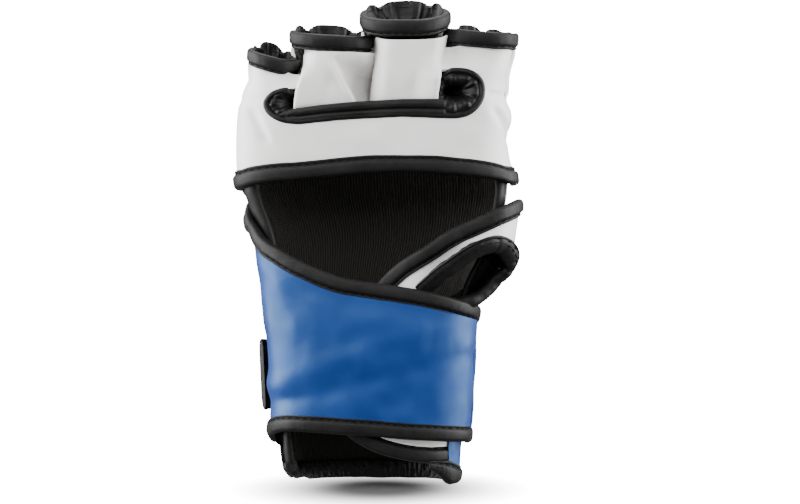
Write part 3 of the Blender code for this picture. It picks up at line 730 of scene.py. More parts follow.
def build_band_binding():
    xs = np.linspace(-62.5, 62.0, 110)
    lowz = line(BAND_LOWER, np.clip(xs, BAND_LOWER[0][0], BAND_LOWER[-1][0]))
    upz = line(BAND_UPPER, xs)
    base = lambda u, z: hand(u, z, palm_d(u, z) - 0.45)
    uf = palm_u(xs, lowz, palm_d(palm_u(xs, lowz, 5.0), lowz))
    rows = [(u, zl, u, zu + 0.9) for u, zl, zu in zip(uf, lowz, upz)]
    # round both sides to the back
    first, last = rows[0], rows[-1]
    left = [(u, first[1] - 1.2 * q, u, first[3] - 1.0 * q) for u, q in zip(np.linspace(-189, first[0], 16)[:-1], np.linspace(1, 0, 16)[:-1])]
    right = [(u, last[1] - 0.8 * q, u, last[3] - 0.8 * q) for u, q in zip(np.linspace(last[0], 9, 16)[1:], np.linspace(0, 1, 16)[1:])]
    e, a, n, w = edge_frames(base, left + rows + right)
    e, a, n = e[::1], a[::1], n[::1]
    tape("palm_band_binding_tape", e, a, n, "hand", ("palm_band_binding",), seed=11, scale=np.clip(w / 7.6, 0.9, 1.15))


build_band_binding()


# ------------------------------------------------------------------ finger slot: piping, gathered ends, grip bar
def at_front(x, z, d=0.0):
    """Point, normal of the palm side at chart x, z, d beyond the leather's face."""
    x, z = np.asarray(x, float), np.asarray(z, float)
    u = palm_u(x, z, 3.0)
    for _ in range(4):
        u = palm_u(x, z, palm_d(u, z))
    return front_point(u, z) + surface_normal(front_point, u, z) * d, surface_normal(front_point, u, z)


def plain_normal(x, z):
    u = palm_u(x, z, 3.0)
    return surface_normal(lambda a, b: hand(a, b, 3.0), u, z)


def slot_path(points, step=0.9):
    """Smooth line along the slot with its point, outward (away from the slot) and normal directions."""
    q = resample(spline(points, 8), step)
    p, n = at_front(q[:, 0], q[:, 1])
    t = np.gradient(p, axis=0)
    t /= np.linalg.norm(t, axis=1, keepdims=True)
    a = np.cross(n, t)
    a /= np.linalg.norm(a, axis=1, keepdims=True)
    return q, p, a, n


PIPE = [(-1.6, -1.6), (-1.9, -0.4), (-1.5, 0.6), (-0.7, 1.05), (0.2, 0.95), (0.85, 0.45), (1.05, -0.3), (0.8, -1.2), (-0.3, -1.7)]


def build_slot():
    # three lengths of piping: the end under the little finger, the long lower side, the end under the index finger
    left = [p for p in SLOT_OUT if p[0] < -28.0]
    low = [p for p in SLOT_OUT if -42.5 < p[0] < 44.5 and p[1] < 180]
    right = [p for p in SLOT_OUT if p[0] > 30.0]
    for name, pts, how, seed in (("slot_piping_little_side", left, BEND_LITTLE, 1), ("slot_piping_palm", low, "hand", 2), ("slot_piping_index_side", right, BEND_INDEX, 3)):
        q, p, a, n = slot_path(pts)
        mid = np.array([0.0, 0, 182.0])
        flip = np.sign(np.sum((p - mid) * a, -1, keepdims=True) * [[1, 0, 1]]).mean(axis=1, keepdims=True)
        centre = q.mean(0)
        inward = np.sum(a[:, [0, 2]] * (q - (centre if name != "slot_piping_palm" else np.array([0, 200.0]))), -1)
        if inward.mean() < 0:
            a = -a
        # the upper ends go in behind the finger loops
        if name != "slot_piping_palm":
            hidden = smooth(np.abs(q[:, 0] - (-37.4 if "little" in name else 30.1)), 5.5, 0.5) * (q[:, 1] > 182)
            p = p - n * (3.4 * hidden)[:, None]
        sweep(name, p - a * 0.2, a, n, PIPE, "soft_black", how, wobble=0.1, seed=seed)

    # gathered facings at the two ends, each drawn into a hole
    def funnel(name, pts, behind, hole, size, depth, how, seed, crease):
        """The gathered leather of one slot end: pts is its edge, behind closes it off under the finger loop."""
        edge = resample(spline(pts, 8), 0.8)
        close = resample(spline([tuple(edge[-1])] + list(behind) + [tuple(edge[0])], 8), 0.8)[1:-1]
        q = np.concatenate([edge, close])
        m, k = len(q), len(edge)
        under = np.zeros(m)
        under[k:] = 6.0 * np.sin(np.linspace(0, math.pi, m - k)) ** 0.35
        p, _ = at_front(q[:, 0], q[:, 1])
        n = plain_normal(q[:, 0], q[:, 1])
        under[:k] = 3.4 * smooth(np.abs(edge[:, 0] - (-37.4 if "little" in name else 30.1)), 5.5, 0.5) * (edge[:, 1] > 182)
        hp, _ = at_front(np.array([hole[0]]), np.array([hole[1]]))
        ang = np.arctan2(q[:, 1] - hole[1], q[:, 0] - hole[0])
        s = np.concatenate([[0], np.cumsum(np.linalg.norm(np.diff(p, axis=0), axis=1))])
        total = s[-1] + 0.8
        gather = 0.7 * np.sin(2 * math.pi * s / total * 9 + 1.5 * np.sin(s / 6.0) + seed) + 0.3 * np.sin(2 * math.pi * s / total * 17 + seed * 2)
        gather = gather * mix(0.35, 1.0, 0.5 + 0.5 * np.cos(ang - crease))
        rows = 34
        out = np.zeros((m, rows, 3))
        for r, v in enumerate(np.linspace(0, 1, rows)):
            # v up to 0.62 runs from the edge to the hole's mouth, then down its throat
            a = min(1.0, v / 0.62)
            b = max(0.0, (v - 0.62) / 0.38)
            mouth = np.stack([hole[0] + size[0] * np.cos(ang), hole[1] + size[1] * np.sin(ang)], -1)
            ring = mix(mouth, np.array([hole])[0], min(0.985, b * 0.985))
            rp, _ = at_front(ring[:, 0], ring[:, 1])
            flat = mix(p, rp, a ** 0.9)
            hill = -1.1 + 2.3 * math.sin(math.pi * a) ** 0.9 - 3.2 * a**2.2 - depth * b**0.75
            ridge = gather * (0.05 + 0.9 * math.sin(math.pi * min(1.0, a * 0.9)) ** 1.5 + 0.6 * a * a) * (1 - 0.6 * b) * 0.85
            across_hole = flat - hp
            across_hole /= np.maximum(np.linalg.norm(across_hole, axis=1, keepdims=True), 1e-6)
            swirl = gather * 0.5 * a * (1 - b)
            out[:, r] = flat + n * (hill + ridge - under * (1 - a * 0.8))[:, None] + across_hole * swirl[:, None]
        nn = normals_of(out, True)
        if np.sum(nn[:, :6].reshape(-1, 3) * np.repeat(n, 6, 0).reshape(-1, 3)) < 0:
            nn = -nn
        plate(name, out, 0.6, "soft_black", how, n=nn, closed_s=True)

    funnel("slot_end_facing_index_side", px((437, 117.2), (445, 117.4), (455, 117.4), (465, 115.3), (474.5, 109.3), (480.3, 101), (482.6, 91), (481.2, 82.5), (476.4, 76.2), (469, 71.8), (460, 70), (450, 70), (441, 70.2)), px((435.5, 76), (434, 90), (433.5, 106)), ((455.5 - 376.5) * 0.47, (486 - 91.5) * 0.47), (5.0, 2.2), 10.0, BEND_INDEX, 2.1, -0.6)
    funnel("slot_end_facing_little_side", px((300, 88.4), (296, 88.6), (290, 89.4), (280, 91.2), (272.6, 94.6), (266.8, 101), (266.4, 107), (269.6, 113), (278.3, 118.8), (288, 121.8), (300, 122.4)), px((304, 116), (306, 106), (305, 94)), ((290.5 - 376.5) * 0.47, (486 - 101.5) * 0.47), (3.0, 2.6), 8.0, BEND_LITTLE, 0.7, -2.6)

    # grip bar: two rolls side by side with a stitched seam between
    xs = np.linspace(-46.5, 31.5, 100)
    low_z = np.interp(xs, *np.array(px((277, 118.4), (288, 121.8), (300, 122.6), (320, 120.6), (350, 118.0), (370, 116.8), (400, 115.6), (420, 115.8), (440, 116.6), (450, 117))).T)
    top_z = np.interp(xs, *np.array(px((277, 116.0), (284, 112.5), (293, 109.5), (320, 106), (350, 103), (400, 100), (430, 99.6), (445, 100))).T)
    mid_z = low_z + (top_z - low_z) * 0.44
    for name, z0, z1, lift, seed in (("grip_bar_lower_roll", low_z, mid_z, 0.55, 5), ("grip_bar_upper_roll", mid_z, top_z, 0.95, 6)):
        c, n = at_front(xs, (z0 + z1) / 2, -1.0)
        up = np.array([0, 0, 1.0]) - n * n[:, 2:3]
        up /= np.linalg.norm(up, axis=1, keepdims=True)
        half = (z1 - z0) / 2 + 0.15
        prof = np.array([(math.cos(g), math.sin(g)) for g in np.linspace(0, 2 * math.pi, 18, endpoint=False)])
        taper = smooth(xs, -46.5, -38) * 0.6 + 0.4
        a = prof[None, :, 0] * half[:, None]
        h = prof[None, :, 1] * (1.75 * taper)[:, None] + lift
        s = np.concatenate([[0], np.cumsum(np.linalg.norm(np.diff(c, axis=0), axis=1))])
        h += noise(s[:, None] / 4.0, prof[None, :, 0], seed) * 0.13 * np.clip(prof[None, :, 1], 0, 1)
        p = c[:, None] + up[:, None] * a[..., None] + n[:, None] * h[..., None]
        tube(name, p, "black", "hand", ("grip_bar",) if "lower" in name else ())
    c, n = at_front(xs, mid_z + 0.1, 0.15)
    stitches("grip_bar_stitches", c, n, "black_thread", "hand", radius=0.3)


def tube(name, p, slot, how, replaces=(), closed=False, smooth_angle=60):
    """A closed solid from rings of points p[i, j], with domed ends."""
    n, m = p.shape[:2]
    s = np.concatenate([[0], np.cumsum(np.linalg.norm(np.diff(p.mean(1), axis=0), axis=1))])
    r = np.concatenate([[0], np.cumsum(np.linalg.norm(np.diff(p[n // 2], axis=0), axis=1))])
    uv = np.stack(np.meshgrid(s, r, indexing="ij"), -1).reshape(-1, 2)
    verts = p.reshape(-1, 3)
    faces = [(i * m + c, i * m + (c + 1) % m, ((i + 1) % n) * m + (c + 1) % m, ((i + 1) % n) * m + c) for i in range(n if closed else n - 1) for c in range(m)]
    if not closed:
        extra, euv = [], []
        for i, j in ((0, 1), (n - 1, n - 2)):
            centre = p[i].mean(0)
            along = centre - p[j].mean(0)
            along /= max(np.linalg.norm(along), 1e-9)
            reach = np.linalg.norm(p[i] - centre, axis=1).min()
            base = len(verts) + len(extra)
            r1 = centre + (p[i] - centre) * 0.8 + along * reach * 0.4
            r2 = centre + (p[i] - centre) * 0.45 + along * reach * 0.62
            extra += list(r1) + list(r2) + [centre + along * reach * 0.68]
            euv += [uv[i * m + c] for c in range(m)] * 2 + [uv[i * m]]
            for c in range(m):
                e = (c + 1) % m
                faces.append((i * m + c, i * m + e, base + e, base + c))
                faces.append((base + c, base + e, base + m + e, base + m + c))
                faces.append((base + m + c, base + m + e, base + 2 * m))
        verts = np.concatenate([verts, np.array(extra)])
        uv = np.concatenate([uv, np.array(euv)])
    return finish_piece(name, verts, faces, uv, slot, how, replaces, smooth_angle=smooth_angle)


build_slot()


# ------------------------------------------------------------------ finger stalls
def pad_push(name, t):
    return {"little": 7.0, "ring": 8.5, "middle": 9.0, "index": 8.0}[name] * (0.55 + 0.45 * smooth(t, 0.1, 0.35)) * (1 - 0.75 * smooth(t, 0.50, 0.80))


def stall_length(f):
    return float(np.linalg.norm(np.array(FINGERS[f]["rim"]) - np.array(FINGERS[f]["root"])))


KNUCKLE_BEND = {
    "little": BEND_LITTLE,
    "ring": ("hand", "ring_finger", (-22, -9.5, 173.5), (-22, -9.5, 187)),
    "middle": ("hand", "middle_finger", (14, -9.5, 174.5), (14, -9.5, 188)),
    "index": BEND_INDEX,
}
RIM_TAPE = [(0.0, -2.0), (-0.5, -1.2), (-0.8, 0.0), (-0.7, 0.9), (-0.2, 1.6), (0.6, 1.95), (2.2, 2.05), (4.4, 2.0), (5.3, 1.75), (5.7, 1.1), (5.95, 0.8), (6.3, 0.8), (6.7, 1.05), (7.1, 0.95), (7.35, 0.4), (7.3, -0.5), (5.0, -0.8), (2.0, -1.0)]


# where the lining puffs up behind the rim (angle, half width, height), and where it is gathered between the puffs
PUFFS = {
    "little": [(104, 26, 2.3), (42, 18, 1.2), (160, 14, 0.8)],
    "ring": [(92, 30, 2.1), (30, 14, 1.2), (152, 15, 1.8)],
    "middle": [(90, 32, 1.4), (34, 15, 1.5), (148, 14, 1.5)],
    "index": [(112, 22, 1.8), (68, 14, 0.9), (20, 14, 0.5)],
}
PUCKERS = {"little": (66, 142), "ring": (52, 128), "middle": (53, 127), "index": (86, 140)}


def build_fingers():
    for f in FINGERS:
        L = stall_length(f)
        body = f + "_finger"
        # bound rim
        u = np.linspace(0, 360, 150, endpoint=False)
        e = finger(f, u, 1.0, 0.35)
        i = finger(f, u, 1.0 - 7.0 / L, 0.35)
        a = i - e
        a /= np.linalg.norm(a, axis=1, keepdims=True)
        c = finger(f, 0, 1.0, -FINGERS[f]["w"][1]) * 0 + e.mean(0)
        n = e - c
        n -= a * np.sum(n * a, -1, keepdims=True)
        t = np.roll(e, -1, 0) - np.roll(e, 1, 0)
        n -= t * (np.sum(n * t, -1, keepdims=True) / np.sum(t * t, -1, keepdims=True))
        n /= np.linalg.norm(n, axis=1, keepdims=True)
        k = np.full(len(u), 0.97 if f != "little" else 0.92)
        # the tape is uneven where the stall is eased on to it
        e = e + n * (noise(u / 24.0, 0 * u, 40 + ord(f[0]) % 5) * 0.45)[:, None] - a * (noise(u / 37.0, 0 * u, 44) * 0.35)[:, None]
        tape(f + "_finger_rim_tape", e, a, n, body, (f + "_finger_binding",), closed=True, wobble=0.16, seed=ord(f[1]) % 9, thread_at=6.1, thread_h=0.85, profile=RIM_TAPE, scale=k)
        # gathered lining, rolled over the back of the rim and drawn in below it
        nu, nt = 260, 46
        uu, vv = np.meshgrid(np.linspace(0, 360, nu, endpoint=False), np.linspace(0, 1, nt), indexing="ij")
        back = np.maximum(0, np.sin(np.radians(uu))) ** 0.6
        reach = L * 0.86
        lift = sum(h * np.exp(-((uu - c0) / w0) ** 4) for c0, w0, h in PUFFS[f]) - sum(1.1 * np.exp(-((uu - c0) / 5.0) ** 2) for c0 in PUCKERS[f])
        depth = -1.0 * np.sin(np.pi * np.clip(vv / 0.14, 0, 1)) * np.maximum(0.2, 0.35 + 1.2 * back + lift) + reach * np.clip((vv - 0.07) / 0.93, 0, 1) ** 1.25
        t_at = 1.0 - depth / L
        over_rim = smooth(vv, 0.12, 0.0)
        d = 0.9 * over_rim * (0.3 + 0.7 * back) - 0.5 - 1.1 * smooth(vv, 0.0, 0.2)
        d = d - 2.6 * np.exp(-((depth - 5.0) / 3.5) ** 2) * (0.25 + 0.75 * back) - 3.6 * smooth(depth, 4.5, 13)
        gather = 0.0
        for centre in PUCKERS[f]:
            w = np.exp(-((uu - centre) / 14.0) ** 2)
            gather = gather + w * (1.3 * np.sin(np.radians(uu - centre) * 30 + 0.8 * np.sin(depth / 2.5)) + noise(uu / 6, depth / 6, 51) * 0.9)
        live = smooth(vv, 0.0, 0.10)
        d = d - gather * 0.85 * live - np.abs(gather) * 0.5 * live + noise(uu / 13, depth / 4, 52) * 0.4 * live + noise(uu / 5, depth / 14, 53) * 0.3 * back * live
        depth = depth + np.abs(gather) * 0.5 * (1 - smooth(vv, 0.0, 0.25))
        t_at = 1.0 - depth / L
        p = finger(f, uu, t_at, d)
        nn = normals_of(p, True)
        outward = np.sum(nn * (p - p.mean(0)[None]), -1).mean()
        nn = nn if outward < 0 else -nn
        plate(f + "_finger_inner_lining", p, 0.6, "soft_black", KNUCKLE_BEND[f], (f + "_finger_lining",), closed_s=True, n=nn)
        # foam pad on the back of the stall, and the leather that covers it
        s, v = np.meshgrid(np.linspace(0, 1, 60), np.linspace(0, 1, 40), indexing="ij")
        uu = 6 + 168 * s
        tt = 0.10 + (0.80 - 0.10) * v
        edge = (1 - np.abs(2 * s - 1) ** 6) ** 0.5 * np.clip((1 - np.abs(2 * v - 1) ** 7), 0, 1) ** 0.5
        crown = pad_push(f, tt) * (0.25 + 0.75 * edge) + 0.8 * edge
        crown = crown + 0.35 * noise(s * 4, v * 3, 61) * edge
        p = finger(f, uu, tt, 1.2 + 1.9 * edge, crown)
        nn = normals_of(p)
        if np.sum(nn[..., 1]) < 0:
            nn = -nn
        pad = plate(f + "_finger_knuckle_pad", p, 1.6, "white", body, (f + "_finger_foam", f + "_finger_pad"), n=nn, lip=0.8)
        # the soft leather between the knuckle pad and the back of the hand
        s, v = np.meshgrid(np.linspace(0, 1, 46), np.linspace(0, 1, 22), indexing="ij")
        uu = 8 + 164 * s
        top = finger(f, uu, 0.26, 1.6, pad_push(f, np.full_like(uu, 0.26)) * 0.62)
        x_low = finger(f, uu, 0.0, 2.0)[..., 0]
        zl = np.full_like(uu, 172.0)
        c = tab(CAVITY, zl)
        q = np.clip((x_low - (c[..., 0] + c[..., 1]) / 2) / ((c[..., 1] - c[..., 0]) / 2 + 6.0), -0.995, 0.995)
        ub = np.degrees(np.arccos(spow(q, POWER / 2)))
        foot = hand(ub, zl, shell_d(ub, zl) - 1.6)
        p = mix(foot, top, smooth(v, -0.15, 1.1)[..., None])
        p[..., 2] = mix(foot[..., 2], top[..., 2], v)
        p[..., 1] -= 1.5 * np.sin(np.pi * v) * np.sin(np.radians(uu)) ** 0.7
        nn = normals_of(p)
        if np.sum(nn[..., 1]) < 0:
            nn = -nn
        plate(f + "_finger_back_gusset", p, 1.1, "white", KNUCKLE_BEND[f], n=nn)


def foam_d(u, z):
    up = np.sin(np.radians(u))
    over = (np.maximum(0.0, up - 0.10) / 0.9) ** 1.2
    knuckle = smooth(z, 136, 145) * (1 - smooth(z, 168, 178) * 0.35)
    back = smooth(z, 83, 92) * (1 - smooth(z, 127, 136))
    mid = 4.5 * (1 - smooth(z, 74, 83)) + 2.6 * smooth(z, 74, 83)
    mid = mid + (8.0 - 2.6) * back + (11.0 - 2.6) * knuckle
    edge = 3.4 * (1 - 0.45 * smooth(-up, 0.15, 0.7))
    return edge + (np.maximum(mid, 3.4) - 3.4) * over


def shell_d(u, z):
    return foam_d(u, z) + 1.95


build_fingers()


def build_loops():
    """The white leather loops across the front of the ring and middle stalls."""
    for f, left, right, seed in (
        ("ring", px((294, 117), (293.5, 109), (294, 100), (295.5, 90), (298.5, 82), (301, 73), (302.5, 64), (302.5, 52), (300, 44)), px((371, 112), (371, 104), (371, 96), (371.5, 88), (372.2, 80), (373.5, 70), (374.5, 60), (375, 50), (375, 44)), 71),
        ("middle", px((369.5, 112), (369.5, 100), (370, 92), (371, 82), (372.3, 70), (373.3, 60), (373.8, 50), (374.5, 40), (374, 30)), px((437, 112), (438, 100), (438.5, 92), (440, 82), (441.5, 70), (443.5, 60), (446, 48), (448.5, 36), (450, 28)), 72),
    ):
        F = FINGERS[f]
        zl = np.array([p[1] for p in left])
        xl = np.array([p[0] for p in left])
        zr = np.array([p[1] for p in right])
        xr = np.array([p[0] for p in right])
        ns, nt = 90, 56
        s, v = np.meshgrid(np.linspace(-0.12, 1.12, ns), np.linspace(0, 1, nt), indexing="ij")
        bottom = mix(174.6, 176.8, np.clip(s, 0, 1)) if f == "ring" else np.full_like(s, 177.8)
        top = finger(f, -90, 1 - 6.0 / stall_length(f), 0.0)[2] + 0 * s
        roll = math.radians(F["roll"])
        z = mix(bottom, top, v)
        left_x, right_x = np.interp(z, zl, xl), np.interp(z, zr, xr)
        sc = np.clip(s, 0, 1)
        x = mix(left_x, right_x, sc)
        centre = (F["root"][0] + F["rim"][0]) / 2
        z = z - (x - centre) * math.tan(roll) * smooth(v, 0.45, 1.0)
        t = (z - F["root"][2]) / (F["rim"][2] - F["root"][2])
        yc = F["root"][1] + (F["rim"][1] - F["root"][1]) * t
        h = F["h"][0] + (F["h"][1] - F["h"][0]) * t + 1.2
        lean = math.radians(F["lean"])
        q = np.abs(2 * sc - 1)
        bow = (1 - q ** 4.0) ** (1 / 2.0)
        # the open side lies flat over the end of the slot
        open_side = smooth(sc, 0.5, 0.0) if f == "ring" else smooth(sc, 0.5, 1.0)
        bow = mix(bow, 1.0, 0.85 * open_side * smooth(z, 205, 192))
        y = yc - h * bow * np.cos(lean * np.clip(t, 0, 1))
        z = z - h * bow * np.sin(lean) * np.clip(t, 0, 1) * 1.0
        over = np.maximum(0, np.maximum(-s, s - 1)) / 0.12
        y = y + over * 5.0
        # bottom goes in behind the grip bar
        tuck = smooth(v, 0.16, 0.0)
        y = y + tuck * 1.4
        if f == "ring":
            # a hard fold runs down to the slot, and the leather right of it turns away
            fold_x = np.interp(z, [175, 180.5, 190, 200.2, 206], [-8.5, -9.8, -15.0, -20.9, -24.5])
            right_of = (x - fold_x) * smooth(z, 204, 196)
            fade = smooth(z, 204, 192)
            deep = mix(0.4, 1.0, smooth(z, 200, 184))
            y = y + np.where(right_of > 0, (7.0 * smooth(right_of, 0.0, 1.0) + 13.0 * np.clip(right_of / 13.0, 0, 1)) * fade * deep, 0)
            y = y - 5.5 * smooth(sc, 0.45, 0.0) * smooth(z, 205, 190) * bow
            y = y - 1.5 * np.exp(-((x - fold_x + 1.1) / 2.0) ** 2) * fade
        else:
            # the left side turns back towards the next loop
            fold_x = np.interp(z, [178, 186, 190, 197, 205, 209.6, 214], [-6.5, -3.3, -2.3, -0.5, 1.7, 0.2, -1.0])
            y = y + 1.15 * np.maximum(0, fold_x - x) * smooth(z, 180, 190)
            y = y - 5.0 * smooth(sc, 0.6, 1.0) * smooth(z, 205, 190) * bow
        puff = 0.4 * noise(x / 9, z / 11, seed) + 0.2 * noise(x / 4.5, z / 6, seed + 1)
        y = y + puff * bow
        p = np.stack([x, y, z], -1)
        nn = normals_of(p)
        if np.sum(nn[..., 1]) > 0:
            nn = -nn
        plate(f + "_finger_front_loop", p, 1.2, "white", KNUCKLE_BEND[f], (f + "_finger_loop",), n=nn)


build_loops()


# ------------------------------------------------------------------ inside of the hand: lining, hem, welts
def hand_plate(name, u0, u1, z0, z1, d, thick, slot, how, replaces=(), nu=120, nz=80, inside=False):
    s, v = np.meshgrid(np.linspace(0, 1, nu), np.linspace(0, 1, nz), indexing="ij")
    u = mix(u0, u1, s)
    z = mix(z0(u) if callable(z0) else z0, z1(u) if callable(z1) else z1, v)
    p = hand(u, z, d(u, z) if callable(d) else d)
    n = normals_of(p)
    out = np.sum(n[..., :2] * (p[..., :2] - np.array([0, 0.5])), -1).mean()
    if (out < 0) != inside:
        n = -n
    return plate(name, p, thick, slot, how, replaces, n=n)


def build_inside():
    s_wave = lambda u, z: 0.0 + 0.45 * noise(u / 25, z / 24, 81) + 0.2 * noise(u / 9, z / 14, 82)
    lining = hand_plate("back_lining_cloth", -6.5, 186.5, 8.6, 176.0, lambda u, z: 0.25 + s_wave(u, z), -0.8, "lining", "hand", ("back_lining",), 150, 130, inside=False)
    hand_plate("palm_band_lining_cloth", -175, -5, lambda u: 150.5 + 0 * u, 171.5, lambda u, z: palm_d(u, z) - 2.3, 0.8, "lining", "hand", ("palm_band_lining",), 90, 14)
    # welts: padded edges of the back, seen in the palm opening
    for name, u0, u1, z0, z1, rep, seed in (("ulnar_welt", 190.5, 196.5, 26.0, 152.0, "ulnar_edge_binding", 3), ("radial_welt", -12.5, -16.5, 88.0, 152.0, "radial_edge_binding", 4)):
        z = np.linspace(z0, z1, 110)
        um = (u0 + u1) / 2 + (4.5 * smooth(z, 116, 145) if "ulnar" in name else 0 * z)
        c = hand(um, z, 1.9 + (0.7 * smooth(z, 88, 108) if "ulnar" in name else 0))
        n = surface_normal(lambda a, b: hand(a, b, 1.9), um, z)
        if "ulnar" in name:
            # at the bottom it turns the corner and runs into the hem
            turn = spline([(193.5, 25.0, 1.9), (193.4, 20.0, 1.9), (192.8, 15.0, 1.9), (191.0, 11.0, 1.7), (187.0, 8.2, 1.2), (181.5, 6.6, 0.7), (173.0, 5.2, 0.3), (164.0, 4.4, 0.0)], 8)[::-1]
            c = np.concatenate([hand(turn[:, 0], turn[:, 1], turn[:, 2]), c])
            n = np.concatenate([surface_normal(lambda a, b: hand(a, b, 1.9), turn[:, 0], turn[:, 1]), n])
            z = np.concatenate([np.maximum(turn[:, 1], 5.0) - 14.0 * smooth(-turn[:, 0], -184, -162), z])
        t = np.gradient(c, axis=0)
        t /= np.linalg.norm(t, axis=1, keepdims=True)
        n = n - t * np.sum(n * t, -1, keepdims=True)
        n /= np.linalg.norm(n, axis=1, keepdims=True)
        a = np.cross(t, n)
        rx, ry = 3.7, 2.5
        g = np.linspace(0, 2 * math.pi, 20, endpoint=False)
        thin = (0.45 + 0.85 * smooth(z, 84, 110) + 0.62 * smooth(z, 40, 26)) * mix(0.3, 1.0, smooth(z, -9, 5)) if "ulnar" in name else mix(0.55, 1.0, smooth(z, 104, 120))
        r = (1 + 0.05 * noise(z[:, None] / 6, g[None] * 1.2, seed + 80)) * thin[:, None]
        p = c[:, None] + a[:, None] * (np.cos(g)[None, :, None] * rx * r[..., None]) + n[:, None] * (np.sin(g)[None, :, None] * ry * r[..., None])
        tube(name, p, "black", "hand", (rep,))
    # gathered black leather round the little finger side, from the palm band down to the strap
    s, v = np.meshgrid(np.linspace(0, 1, 60), np.linspace(0, 1, 70), indexing="ij")
    z = mix(106.0, 149.0, v)
    u = mix(168.0, 195.0, s)
    d = tab(np.array([(106, 5.2), (112, 6.3), (119, 6.7), (124, 6.7), (127, 6.1), (131, 4.7), (136, 5.0), (141, 6.4), (149, 6.9)], float), z)[..., 0]
    d = d * mix(0.9, 1.0, smooth(np.abs(2 * s - 1), 1.0, 0.5)) + 0.3 * np.sin(1.5 * z + 0.35 * u + 1.2 * noise(u / 9, z / 9, 85)) * smooth(s, 0.2, 0.6) + 0.25 * noise(u / 5, z / 4, 86)
    plate("ulnar_side_leather", hand(u, z, d), 0.9, "matte_black", "hand", n=surface_normal(lambda a, b: hand(a, b, 4.0), u, z))
    # its front edge turns in behind the welt
    s, v = np.meshgrid(np.linspace(0, 1, 24), np.linspace(0, 1, 90), indexing="ij")
    z = mix(100.0, 148.5, v)
    edge = tab(np.array([(100, 2.6), (106, 4.4), (112, 6.0), (119, 6.4), (124, 6.4), (127, 5.8), (131, 4.4), (136, 4.8), (149, 6.6)], float), z)[..., 0]
    fold = 0.5 * np.sin(1.35 * z + 2.2 * s + 1.5 * noise(s * 3, z / 8, 87)) * smooth(s, 0.0, 0.3)
    z_low = mix(9.0, 36.0, v)
    low_edge = tab(np.array([(9, 0.2), (12.2, 1.0), (15.6, 2.6), (17.9, 5.4), (20, 7.6), (28, 8.2), (36, 8.2)], float), z_low)[..., 0]
    low_fold = 0.5 * np.sin(1.35 * z_low + 2.2 * s) * smooth(s, 0.0, 0.3)
    plate("cuff_corner_fold", hand(mix(193.0, 185.5, s) + low_fold, z_low, mix(low_edge, 0.2, s)), 0.8, "matte_black", "hand", n=np.broadcast_to(np.array([0.0, -1.0, 0.0]), s.shape + (3,)))
    plate("ulnar_side_fold", hand(mix(194.4, 187.0, s) + fold, z, mix(edge, 0.3, s)), 0.8, "matte_black", "hand", n=np.broadcast_to(np.array([0.0, -1.0, 0.0]), s.shape + (3,)))


build_inside()


# ------------------------------------------------------------------ the back: white shell, panel, blue cuff
def corner_rise(u):
    """How far the hem's upper edge climbs at the front on the thumb side, where the cuff's corner is cut away."""
    return 4.0 * smooth(-np.asarray(u, float), 6, 34)


